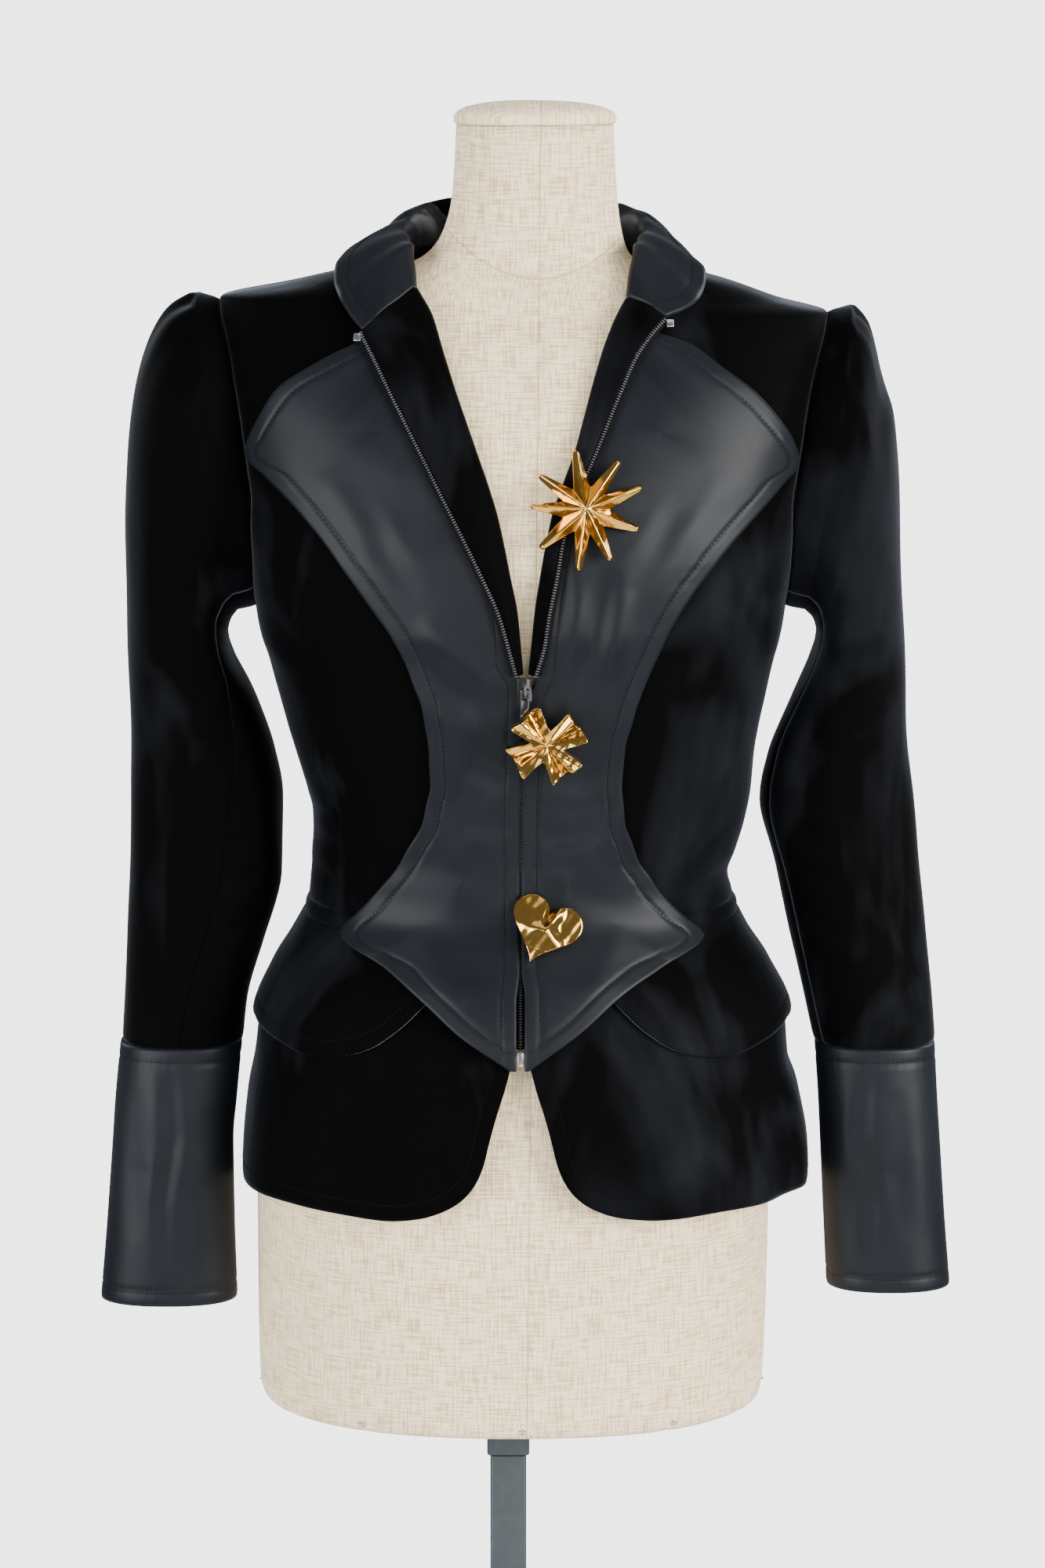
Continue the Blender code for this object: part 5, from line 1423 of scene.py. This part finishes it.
class Repeat:
    """A tree of Geometry Nodes with named inputs, run once on a piece and turned into plain mesh."""

    def __init__(self, name, inputs):
        self.tree = bpy.data.node_groups.new(name, "GeometryNodeTree")
        face = self.tree.interface
        face.new_socket("Geometry", in_out="INPUT", socket_type="NodeSocketGeometry")
        self.sockets = {}
        for key, (kind, value) in inputs.items():
            made = face.new_socket(key, in_out="INPUT", socket_type=kind)
            if value is not None:
                made.default_value = value
            self.sockets[key] = made
        face.new_socket("Geometry", in_out="OUTPUT", socket_type="NodeSocketGeometry")
        self.start = self.tree.nodes.new("NodeGroupInput")
        self.end = self.tree.nodes.new("NodeGroupOutput")

    def add(self, kind, settings=None, links=None):
        made = self.tree.nodes.new(kind)
        for key, value in (settings or {}).items():
            setattr(made, key, value)
        for key, value in (links or {}).items():
            if isinstance(value, tuple) and len(value) == 2 and hasattr(value[0], "outputs"):
                self.tree.links.new(value[0].outputs[value[1]], made.inputs[key])
            elif isinstance(value, str):
                self.tree.links.new(self.start.outputs[value], made.inputs[key])
            else:
                made.inputs[key].default_value = value
        return made

    def finish(self, source):
        real = self.add("GeometryNodeRealizeInstances", links={"Geometry": source})
        paint = self.add("GeometryNodeSetMaterial", links={"Geometry": (real, 0), "Material": "Finish"})
        self.tree.links.new(paint.outputs[0], self.end.inputs[0])

    def run(self, name, base, **values):
        modifier = base.modifiers.new("repeat", "NODES")
        modifier.node_group = self.tree
        for key, value in values.items():
            modifier[self.sockets[key.replace("_", " ")].identifier] = value
        bpy.context.view_layer.update()
        evaluated = base.evaluated_get(bpy.context.evaluated_depsgraph_get())
        mesh = bpy.data.meshes.new_from_object(evaluated)
        base.modifiers.remove(modifier)
        bpy.data.objects.remove(base)
        mesh.name = name
        mesh.polygons.foreach_set("use_smooth", np.full(len(mesh.polygons), True))
        obj = bpy.data.objects.new(name, mesh)
        bpy.context.scene.collection.objects.link(obj)
        return obj


def path_object(name, lines, facing=None):
    """Edges only: one open line for each list of points, with the way that its pieces face."""
    verts, edges, ways = [], [], []
    for n, line in enumerate(lines):
        start = len(verts)
        verts.extend(np.asarray(line, float) * MM)
        edges.extend((start + k, start + k + 1) for k in range(len(line) - 1))
        ways.extend(facing[n] if facing is not None else [(0.0, -1.0, 0.0)] * len(line))
    mesh = bpy.data.meshes.new(name)
    mesh.from_pydata([tuple(v) for v in verts], edges, [])
    way = mesh.attributes.new("faces_way", "FLOAT_VECTOR", "POINT")
    way.data.foreach_set("vector", np.asarray(ways, float).ravel())
    obj = bpy.data.objects.new(name, mesh)
    bpy.context.scene.collection.objects.link(obj)
    return obj


def set_along(tree, piece, pitch="Pitch"):
    """The piece repeated along the given lines, its length along them and its top facing out."""
    curve = tree.add("GeometryNodeMeshToCurve", links={"Mesh": "Geometry"})
    spaced = tree.add("GeometryNodeResampleCurve", links={"Curve": (curve, 0)})
    spaced.mode = "LENGTH"
    tree.tree.links.new(tree.start.outputs[pitch], spaced.inputs["Length"])
    tangent = tree.add("GeometryNodeInputTangent")
    way = tree.tree.nodes.new("GeometryNodeInputNamedAttribute")
    way.data_type = "FLOAT_VECTOR"
    way.inputs["Name"].default_value = "faces_way"
    first = tree.add("FunctionNodeAlignRotationToVector", {"axis": "X"}, {"Vector": (tangent, 0)})
    second = tree.add(
        "FunctionNodeAlignRotationToVector", {"axis": "Z", "pivot_axis": "X"}, {"Rotation": (first, 0), "Vector": (way, 0)}
    )
    return tree.add(
        "GeometryNodeInstanceOnPoints",
        links={"Points": (spaced, 0), "Instance": piece, "Rotation": (second, 0)},
    )


def stitch_tree():
    """One slim rounded stitch after another along a line."""
    tree = Repeat(
        "topstitching",
        {
            "Pitch": ("NodeSocketFloat", STITCH_PITCH * MM),
            "Length": ("NodeSocketFloat", 2.4 * MM),
            "Width": ("NodeSocketFloat", 0.5 * MM),
            "Finish": ("NodeSocketMaterial", None),
        },
    )
    ball = tree.add("GeometryNodeMeshUVSphere", links={"Segments": 6, "Rings": 4, "Radius": 0.5})
    size = tree.add("ShaderNodeCombineXYZ", links={"X": "Length", "Y": "Width", "Z": "Width"})
    stitch = tree.add("GeometryNodeTransform", links={"Geometry": (ball, 0), "Scale": (size, 0)})
    rows = set_along(tree, (stitch, 0))
    tree.finish((rows, 0))
    return tree


def tooth_tree():
    """Coil teeth of a zip, each a small bent block across the tape's edge."""
    tree = Repeat(
        "zip_teeth",
        {
            "Pitch": ("NodeSocketFloat", 1.7 * MM),
            "Across": ("NodeSocketFloat", 2.4 * MM),
            "Along": ("NodeSocketFloat", 1.0 * MM),
            "Height": ("NodeSocketFloat", 1.8 * MM),
            "Finish": ("NodeSocketMaterial", None),
        },
    )
    size = tree.add("ShaderNodeCombineXYZ", links={"X": "Along", "Y": "Across", "Z": "Height"})
    block = tree.add(
        "GeometryNodeMeshUVSphere", links={"Segments": 8, "Rings": 5, "Radius": 0.58}
    )
    tooth = tree.add("GeometryNodeTransform", links={"Geometry": (block, 0), "Scale": (size, 0)})
    rows = set_along(tree, (tooth, 0))
    tree.finish((rows, 0))
    return tree


def rivet_tree():
    """Domed rivets standing on a surface."""
    tree = Repeat(
        "rivets",
        {
            "Pitch": ("NodeSocketFloat", 90.0 * MM),
            "Diameter": ("NodeSocketFloat", 4.6 * MM),
            "Rise": ("NodeSocketFloat", 1.5 * MM),
            "Finish": ("NodeSocketMaterial", None),
        },
    )
    size = tree.add("ShaderNodeCombineXYZ", links={"X": "Diameter", "Y": "Diameter", "Z": "Rise"})
    dome = tree.add("GeometryNodeMeshUVSphere", links={"Segments": 20, "Rings": 12, "Radius": 0.5})
    rivet = tree.add("GeometryNodeTransform", links={"Geometry": (dome, 0), "Scale": (size, 0)})
    rows = set_along(tree, (rivet, 0))
    tree.finish((rows, 0))
    return tree


STITCHES = stitch_tree()
TEETH = tooth_tree()
RIVETS = rivet_tree()


def raised(line, amount=0.12):
    """A line moved a little away from the object's axis, so that its thread stands on the cloth."""
    line = np.asarray(line, float)
    away = line * (1, 1, 0)
    away /= np.maximum(np.linalg.norm(away, axis=1, keepdims=True), 1e-6)
    return line + away * amount


def topstitch(name, lines, finish="thread", slot="satin"):
    piece = STITCHES.run(name, path_object(name + "_path", [raised(line) for line in lines if len(line) > 3]), Finish=FINISH[finish])
    return dressed(piece, finish=slot)


def sew():
    """Every row of topstitching that shows."""
    for side in (-1, 1):
        end = side_name(side)
        satin = GRIDS["plastron_" + end + "_cloth"]
        rows = len(satin)
        lines = [line_inside(satin, "last", TOPSTITCH_IN, 4, rows - 3)]
        lines.append(line_inside(satin, "first", TOPSTITCH_IN, 12, rows - 3))
        topstitch("plastron_topstitch_" + end, lines)
        fold = GRIDS["cuff_" + end + "_cloth"]
        for distance, edge, part in ((8.5, "top", "lower"), (8.5, "bottom", "upper")):
            line = line_inside(fold, edge, distance)
            topstitch("cuff_topstitch_%s_%s" % (part, end), [np.concatenate([line, line[:1]])])
        stand = GRIDS["collar_" + end + "_cloth"]
        topstitch("collar_topstitch_" + end, [line_inside(stand, "last", 9.0, 2, -2)])
        for part in ("upper_peplum_", "lower_peplum_"):
            hem = GRIDS[part + end + "_cloth"]
            line = line_inside(hem, "bottom", 10.0, 2, None)
            topstitch("hem_topstitch_" + part + end, [line], "dark_thread", "velvet")


def teeth():
    """Black teeth down the closed zip, and along the free edges of the lapels."""
    for side in (-1, 1):
        end = side_name(side)
        tape = GRIDS["zip_tape_" + end + "_cloth"]
        line = tape[:, 0].copy()
        line[:, 1] -= 0.9
        open_edge = GRIDS["zip_edge_" + end + "_cloth"]
        free = open_edge[:, 1].copy()
        free[:, 1] -= 0.7
        piece = TEETH.run(
            "zip_teeth_" + end,
            path_object("teeth_path_" + end, [line[:-2], free]),
            # The teeth take the coil finish, black with a painted grey highlight.
            Finish=FINISH["coil_painted_highlights"],
        )
        dressed(piece, finish="black_metal")


def whole_form():
    """The linen body with its seams, and the neck."""
    columns = 160
    turn = np.linspace(0, 2 * math.pi, columns + 1)[:-1]
    rows = []
    for height in column(FORM_LOWER, "height"):
        rows.append(surface(FORM_LOWER, turn, np.full(columns, height)))
    for height in (1250, 1290, 1330, 1360, 1383, 1396, 1404, 1414, 1422):
        level = np.full(columns, float(height))
        clear = FORM_CLEAR + 4.0 * max(0.0, min(1.0, (height - 1385) / 20))
        rows.append(surface(BODY, turn, level) - outward(BODY, turn, level) * clear)
    for height in column(NECK, "height"):
        rows.append(surface(NECK, turn, np.full(columns, height)))
    grid = finer(np.array(rows), 5, 1)
    n = normals_of(grid, wrap=True)
    seams = (0.62, -0.62, math.pi / 2, -math.pi / 2, math.pi, 2.45, -2.45)
    move = 0.0
    way = np.arctan2(np.sin(turn), np.cos(turn))[None, :]
    for seam in seams:
        gap = np.abs((way - seam + math.pi) % (2 * math.pi) - math.pi) * np.linalg.norm(grid[..., :2], axis=-1)
        move = move - 0.7 * np.exp(-((gap / 1.5) ** 2))
    grid = grid - n * move[..., None] * np.sign((n * (grid * (1, 1, 0))).sum(-1).mean()) * -1
    return grid


def closed_grid(name, grid, finish, flat_map=False):
    """Rings of points joined in a tube, closed at both ends, with a map of lengths."""
    rows, cols = grid.shape[:2]
    i, j = np.arange(rows - 1)[:, None], np.arange(cols)[None, :]
    k = (j + 1) % cols
    faces = np.stack([i * cols + j, i * cols + k, (i + 1) * cols + k, (i + 1) * cols + j], axis=-1).reshape(-1, 4)
    verts = grid.reshape(-1, 3)
    across = np.cumsum(np.linalg.norm(np.diff(grid, axis=1, prepend=grid[:, -1:]), axis=-1), axis=1)
    across = across - across[:, :1]
    whole = across[:, -1:] + np.linalg.norm(grid[:, :1] - grid[:, -1:], axis=-1)
    across = np.where(across > whole / 2, across - whole, across)
    down = np.cumsum(np.linalg.norm(np.diff(grid, axis=0, prepend=grid[:1]), axis=-1), axis=0)
    uv = np.stack([across, down.mean(axis=1)[:, None] + 0 * down], axis=-1).reshape(-1, 2)
    if flat_map:
        uv = verts[:, :2].copy()
    extra, caps = [], []
    for ring, flip in ((0, True), (rows - 1, False)):
        centre = len(verts) + len(extra)
        extra.append(grid[ring].mean(axis=0))
        for c in range(cols):
            a, b = ring * cols + c, ring * cols + (c + 1) % cols
            caps.append((b, a, centre, centre) if flip else (a, b, centre, centre))
    verts = np.concatenate([verts, extra])
    uv = np.concatenate([uv, np.array(extra)[:, :2] if flat_map else [[0, 0], [0, 0]]])
    mesh = bpy.data.meshes.new(name)
    polygons = [tuple(face) for face in faces] + [tuple(cap[:3]) for cap in caps]
    mesh.from_pydata([tuple(v) for v in verts * MM], [], polygons)
    layer = mesh.uv_layers.new(name="Cloth")
    order = np.zeros(len(mesh.loops), np.int32)
    mesh.loops.foreach_get("vertex_index", order)
    layer.data.foreach_set("uv", (uv[order] * MM).ravel())
    mesh.polygons.foreach_set("use_smooth", np.full(len(mesh.polygons), True))
    mesh.validate()
    mesh.update()
    mesh.materials.append(FINISH[finish])
    obj = bpy.data.objects.new(name, mesh)
    bpy.context.scene.collection.objects.link(obj)
    return obj


def form():
    dressed(closed_grid("form_body_linen", whole_form(), "linen"), "form_body", finish="linen")
    columns = 120
    turn = np.linspace(0, 2 * math.pi, columns + 1)[:-1]
    top = column(NECK, "height")[-1]
    rim = surface(NECK, turn, np.full(columns, top))
    middle = rim.mean(axis=0)
    rings = []
    steps = (
        (0.6, 0.3), (1.0, 0.3), (1.025, 0.9), (1.035, 1.8), (1.035, 4.6), (1.02, 6.4), (0.99, 8.0), (0.93, 9.6),
        (0.85, 11.0), (0.7, 12.6), (0.55, 13.6), (0.35, 14.3), (0.15, 14.6),
    )
    for share, rise in steps:
        ring = middle + (rim - middle) * share
        ring[:, 2] = top + rise
        rings.append(ring)
    dressed(closed_grid("form_neck_cap_linen", np.array(rings), "linen", flat_map=True), "form_neck_cap", finish="linen")
    spots, ways = [], []
    for t in (-0.60, 0.02, 0.64, 1.57, 2.3, 3.14, -2.3, -1.57):
        point = surface(FORM_LOWER, np.array([t]), np.array([706.5]))[0]
        n = outward(FORM_LOWER, np.array([t]), np.array([706.5]))[0]
        spots.append([point, point + np.array([0.2, 0, 0])])
        ways.append([tuple(n), tuple(n)])
    rivets = RIVETS.run("form_rivets", path_object("rivet_spots", spots, ways), Finish=FINISH["steel"])
    dressed(rivets, finish="steel")


# Cast ornaments, each a height over its own outline.


def local_frame(x, height, lift):
    """Origin and axes of a flat thing that lies on the front: across, up and out."""
    turn, level = turn_at_x(np.array([x]), np.array([height])), np.array([height])
    out = outward(BODY, turn, level)[0]
    up = np.array([0.0, 0.0, 1.0]) - out * out[2]
    up /= np.linalg.norm(up)
    return lifted(turn, level, np.array([lift]))[0], np.cross(up, out), up, out


def rounded(corners, count, soft):
    """A closed outline through the corners, evenly spaced, its corners rounded by a soft brush."""
    corners = np.asarray(corners, float)
    loop = np.concatenate([corners, corners[:1]])
    length = np.concatenate([[0], np.cumsum(np.linalg.norm(np.diff(loop, axis=0), axis=1))])
    even = np.linspace(0, length[-1], count + 1)[:-1]
    line = np.stack([np.interp(even, length, loop[:, k]) for k in (0, 1)], axis=1)
    step = length[-1] / count
    reach = int(3 * soft / step) + 1
    brush = np.exp(-((np.arange(-reach, reach + 1) * step / soft) ** 2) / 2)
    long = np.concatenate([line[-reach:], line, line[:reach]])
    return np.stack([np.convolve(long[:, k], brush / brush.sum(), "valid") for k in (0, 1)], axis=1)


def cast(name, node, outline, height_of, place, shank):
    """A polished casting: shank, flat back, rounded side and the modelled front."""
    radius, drop = shank
    rim = height_of(outline)
    unit = outline / np.linalg.norm(outline, axis=1, keepdims=True)
    rings = [(unit * radius * 0.6, -drop), (unit * radius, -drop + 0.3), (unit * radius, -0.2), (outline * 0.55, 0.1)]
    rings += [(outline * 0.90, 0.5), (outline * 0.965, rim * 0.20), (outline * 0.99, rim * 0.40)]
    rings += [(outline * 1.0, rim * 0.62), (outline * 0.998, rim * 0.80), (outline * 0.985, rim * 0.93)]
    for share in 1.0 - np.linspace(0.035, 0.985, 26) ** 1.15:
        rings.append((outline * share, height_of(outline * share)))
    origin, across, up, out = place
    grid = []
    for xy, z in rings:
        z = np.broadcast_to(z, (len(xy),))[:, None]
        grid.append(origin + xy[:, :1] * across + xy[:, 1:] * up + z * out)
    dressed(closed_grid(name, np.array(grid), "gold"), node, finish="gold")


def hand_made(xy, amount):
    """Slow unevenness of a thing that was modelled by hand before it was cast."""
    x, y = xy[:, 0], xy[:, 1]
    return amount * (np.sin(x * 0.41 + 0.7) * np.cos(y * 0.36 - 0.4) + 0.5 * np.sin(x * 0.83 - y * 0.61))


def star():
    """A star of nine uneven rays, each with a ridge."""
    rays = [(math.radians(99 + 40 * k + 4 * math.sin(2.1 * k)), 35.5 + 2.0 * math.cos(1.7 * k)) for k in range(9)]
    corners = []
    for k, (angle, reach) in enumerate(rays):
        for lean in (-0.052, 0.052):
            corners.append((reach * math.cos(angle + lean), reach * math.sin(angle + lean)))
        between = (angle + rays[(k + 1) % 9][0] + (2 * math.pi if k == 8 else 0)) / 2
        corners.append((14.4 * math.cos(between), 14.4 * math.sin(between)))

    def height(xy):
        layers = []
        for angle, reach in rays:
            u = xy[:, 0] * math.cos(angle) + xy[:, 1] * math.sin(angle)
            v = xy[:, 1] * math.cos(angle) - xy[:, 0] * math.sin(angle) + 0.35 * math.sin(3 * angle)
            gap = np.where(u > 0, np.sqrt(v * v + 0.10), np.hypot(u, v))
            layers.append(4.8 + 7.0 * np.clip(1 - u / reach, 0, 1) ** 0.9 - 1.15 * gap)
        layers = np.array(layers) * 2.4
        top = layers.max(axis=0)
        return np.maximum((top + np.log(np.exp(layers - top).sum(axis=0))) / 2.4, 1.6) + hand_made(xy, 0.12)

    cast("button_star_cast", "button_star", rounded(corners, 540, 0.95), height, local_frame(41.0, 1287, 8.8), (3.4, 5.4))


def clover():
    """Four flared arms with a ridge and a channel along each."""
    start = math.radians(32)
    corners = []
    for k in range(4):
        angle = start + k * math.pi / 2 + 0.07 * math.sin(2.3 * k)
        for u, v in ((6.9, -7.0), (14.5, -8.6), (23.6, -11.2), (22.4, 0.6), (22.8, 11.8), (14.0, 8.8)):
            corners.append((u * math.cos(angle) - v * math.sin(angle), u * math.sin(angle) + v * math.cos(angle)))

    def height(xy):
        r, a = np.hypot(xy[:, 0], xy[:, 1]), np.arctan2(xy[:, 1], xy[:, 0])
        arm = (a - start + math.pi / 4) % (math.pi / 2) - math.pi / 4
        lip = (1 - np.cos(4 * arm)) / 2
        ridge = np.exp(-(((arm - 0.23) / 0.17) ** 2))
        channel = np.exp(-(((arm + 0.10) / 0.17) ** 2))
        dip = 1.5 * np.exp(-((r / 4.5) ** 2))
        return 6.2 + r * (0.13 * lip + 0.14 * ridge - 0.16 * channel) - dip + hand_made(xy, 0.30)

    cast("button_clover_cast", "button_clover", rounded(corners, 420, 1.0), height, local_frame(17.5, 1149, 11.2), (4.0, 7.8))


def heart():
    """A rounded heart with broad hammered planes."""
    lean = math.radians(-24)
    corners = []
    for k in range(60):
        t = math.pi / 2 - 2 * math.pi * k / 60
        x = 22.5 * math.sin(t) ** 3
        y = 18.6 * math.cos(t) - 7.2 * math.cos(2 * t) - 2.8 * math.cos(3 * t) - 1.4 * math.cos(4 * t) + 2.6
        corners.append((x * math.cos(lean) - y * math.sin(lean), x * math.sin(lean) + y * math.cos(lean)))
    corners = corners[::-1] if polygon_area(corners) < 0 else corners

    def height(xy):
        x = xy[:, 0] * math.cos(lean) + xy[:, 1] * math.sin(lean)
        y = xy[:, 1] * math.cos(lean) - xy[:, 0] * math.sin(lean)
        planes = [10.8 - 0.10 * x - 0.06 * y]
        for k in range(7):
            way = 2 * math.pi * k / 7 + 0.35 + 0.25 * math.sin(1.9 * k)
            near, fall = 2.5 + 2.5 * math.sin(2.3 * k), 0.46 + 0.16 * math.cos(1.3 * k)
            planes.append(10.6 - fall * (x * math.cos(way) + y * math.sin(way) - near))
        planes = -np.array(planes) * 2.6
        low = planes.max(axis=0)
        top = -(low + np.log(np.exp(planes - low).sum(axis=0))) / 2.6
        cleft = 3.4 * np.exp(-((x / 2.6) ** 2)) / (1 + np.exp(-(y - 4.0) / 1.6))
        hollow = 2.6 * np.exp(-(((x - 9.5) / 5.0) ** 2) - (((y - 5.5) / 5.5) ** 2))
        hollow += 1.2 * np.exp(-(((x + 7.0) / 4.5) ** 2) - (((y - 4.0) / 5.0) ** 2))
        return np.maximum(top - cleft - hollow, 3.4) + hand_made(xy, 0.16)

    cast("button_heart_cast", "button_heart", rounded(corners, 360, 0.8), height, local_frame(15.5, 1024, 8.6), (4.0, 4.3))


def polygon_area(corners):
    x, y = np.asarray(corners).T
    return float((x * np.roll(y, -1) - y * np.roll(x, -1)).sum()) / 2


def softened(node, width, segments, finish, body=JACKET):
    """A copy of a small metal solid, its corners joined and its edges rounded."""
    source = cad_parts[node]
    mesh = source.data.copy()
    obj = bpy.data.objects.new(node + "_round", mesh)
    bpy.context.scene.collection.objects.link(obj)
    bm = bmesh.new()
    bm.from_mesh(mesh)
    bmesh.ops.remove_doubles(bm, verts=bm.verts, dist=1e-6)
    bmesh.ops.dissolve_limit(bm, angle_limit=0.02, verts=bm.verts, edges=bm.edges)
    bmesh.ops.bevel(
        bm, geom=bm.edges[:], offset=width * MM, offset_type="OFFSET", segments=segments, profile=0.5,
        affect="EDGES", clamp_overlap=True,
    )
    bmesh.ops.triangulate(bm, faces=[f for f in bm.faces if len(f.verts) > 4])
    bm.to_mesh(mesh)
    bm.free()
    mesh.polygons.foreach_set("use_smooth", np.full(len(mesh.polygons), True))
    mesh.materials.clear()
    mesh.materials.append(FINISH[finish])
    mesh.polygons.foreach_set("material_index", np.zeros(len(mesh.polygons), np.int32))
    return dressed(obj, node, finish=finish, body=body)


def metal_parts():
    softened("zip_slider", 0.5, 3, "black_metal")
    softened("zip_pull_tab", 0.4, 3, "black_metal", body=PULL)
    softened("zip_bottom_box", 0.6, 3, "steel")
    for side in ("right", "left"):
        softened("zip_stop_" + side, 0.5, 3, "steel")
    softened("form_socket", 1.6, 3, "dark_steel")
    softened("form_pole", 1.6, 3, "dark_steel")
    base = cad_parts["form_base"]
    for n in range(len(base.material_slots)):
        base.material_slots[n].material = FINISH["dark_steel"]


def studio():
    """Pale floor, soft light from above and both sides, and the camera where the photograph was taken."""
    mesh = bpy.data.meshes.new("studio_floor")
    reach = 2.2
    mesh.from_pydata([(-reach, -reach, 0), (reach, -reach, 0), (reach, reach, 0), (-reach, reach, 0)], [], [(0, 1, 2, 3)])
    f = Finish("pale_floor")
    x, y, _ = f.parts(f.place())
    far = ((x * x + y * y) ** 0.5 - 0.9) / 0.65
    f.done(Base_Color=(0.80, 0.80, 0.81, 1.0), Roughness=0.95, Specular_IOR_Level=0.1, Alpha=(1.0 - far).least(1.0).most(0.0))
    mesh.materials.append(f.material)
    floor = bpy.data.objects.new("studio_floor", mesh)
    bpy.context.scene.collection.objects.link(floor)
    world = bpy.data.worlds.new("pale_room")
    bpy.context.scene.world = world
    world.use_nodes = True
    nodes, links = world.node_tree.nodes, world.node_tree.links
    light_side = nodes["Background"]
    light_side.inputs["Color"].default_value = (0.84, 0.84, 0.84, 1.0)
    light_side.inputs["Strength"].default_value = ROOM_LIGHT
    wall_side = nodes.new("ShaderNodeBackground")
    wall_side.inputs["Color"].default_value = (0.84, 0.845, 0.86, 1.0)
    wall_side.inputs["Strength"].default_value = WALL_LIGHT
    mirrored = nodes.new("ShaderNodeBackground")
    mirrored.inputs["Color"].default_value = (0.80, 0.83, 0.88, 1.0)
    mirrored.inputs["Strength"].default_value = MIRRORED_ROOM
    ray = nodes.new("ShaderNodeLightPath")
    source = light_side
    for kind, other in (("Is Glossy Ray", mirrored), ("Is Camera Ray", wall_side)):
        both = nodes.new("ShaderNodeMixShader")
        links.new(ray.outputs[kind], both.inputs[0])
        links.new(source.outputs[0], both.inputs[1])
        links.new(other.outputs[0], both.inputs[2])
        source = both
    links.new(source.outputs[0], nodes["World Output"].inputs["Surface"])
    lamps = (
        ("key_right", (2.6, -2.1, 1.75), (0.0, 0.0, 1.05), 2.0, 215.0, (1.0, 0.98, 0.95)),
        ("fill_left", (-2.4, -2.3, 1.35), (0.0, 0.0, 1.05), 2.2, 125.0, (0.98, 0.99, 1.0)),
        ("rim_left", (-2.0, 1.3, 2.0), (0.0, 0.0, 1.2), 1.4, 24.0, (0.95, 0.97, 1.0)),
        ("rim_right", (2.1, 1.2, 2.1), (0.0, 0.0, 1.2), 1.4, 40.0, (0.95, 0.97, 1.0)),
        ("card_right", (1.35, -3.0, 1.9), (0.0, 0.0, 1.1), 1.3, 20.0, (1.0, 0.98, 0.95)),
        ("card_left", (-1.25, -2.9, 1.15), (0.0, 0.0, 1.1), 1.1, 10.0, (0.97, 0.98, 1.0)),
        ("card_low", (0.25, -2.3, 0.30), (0.0, 0.0, 1.1), 0.9, 6.0, (1.0, 0.99, 0.97)),
        ("top", (0.2, -0.3, 3.3), (0.0, 0.0, 1.2), 1.6, 6.0, (1.0, 1.0, 1.0)),
    )
    for name, place, aim, size, power, colour in lamps:
        light = bpy.data.lights.new(name, "AREA")
        light.shape = "DISK"
        light.size = size
        light.energy = power
        light.color = colour
        lamp = bpy.data.objects.new(name, light)
        lamp.location = place
        lamp.rotation_euler = (Vector(aim) - Vector(place)).to_track_quat("-Z", "Y").to_euler()
        bpy.context.scene.collection.objects.link(lamp)
    view = bpy.data.cameras.new("photo_camera")
    view.sensor_fit = "VERTICAL"
    view.sensor_height = 36.0
    view.lens = LENS
    camera = bpy.data.objects.new("photo_camera", view)
    camera.location = (TARGET[0], TARGET[1] - DISTANCE * math.cos(PITCH), TARGET[2] + DISTANCE * math.sin(PITCH))
    camera.rotation_euler = (math.pi / 2 - PITCH, 0.0, 0.0)
    bpy.context.scene.collection.objects.link(camera)
    bpy.context.scene.camera = camera


studio()
for side in (-1, 1):
    front_panel(side)
    back_panel(side)
    plastron(side)
    band(side)
    peplum(side)
    facing(side)
    sleeve(side)
    cuff(side)
    zip_tapes(side)
    zip_edges(side)
collars()
sew()
teeth()
form()
star()
clover()
heart()
metal_parts()


# The shortest side that a cloth piece's measured size is raised to.
LEAST_SIDE = 10.5


def declare_sheets():
    """Works out each cloth piece's size and area, measured along the modelled cloth; the values are not stored or
    used.
    """
    for name, ((width, length), area) in sorted(SIZES.items()):
        base = name[: -len("_cloth")]
        if base.startswith("zip_"):
            continue
        width, length = max(width, LEAST_SIDE), max(length, LEAST_SIDE)
        going = []
        for panel, tape in (("front_", "zip_tape_"), ("facing_", "zip_edge_")):
            if base.startswith(panel):
                going = [bpy.data.objects[tape + base[len(panel):] + "_cloth"]]
        width * MM
        length * MM
        min(area, width * length) * 1e-6


declare_sheets()
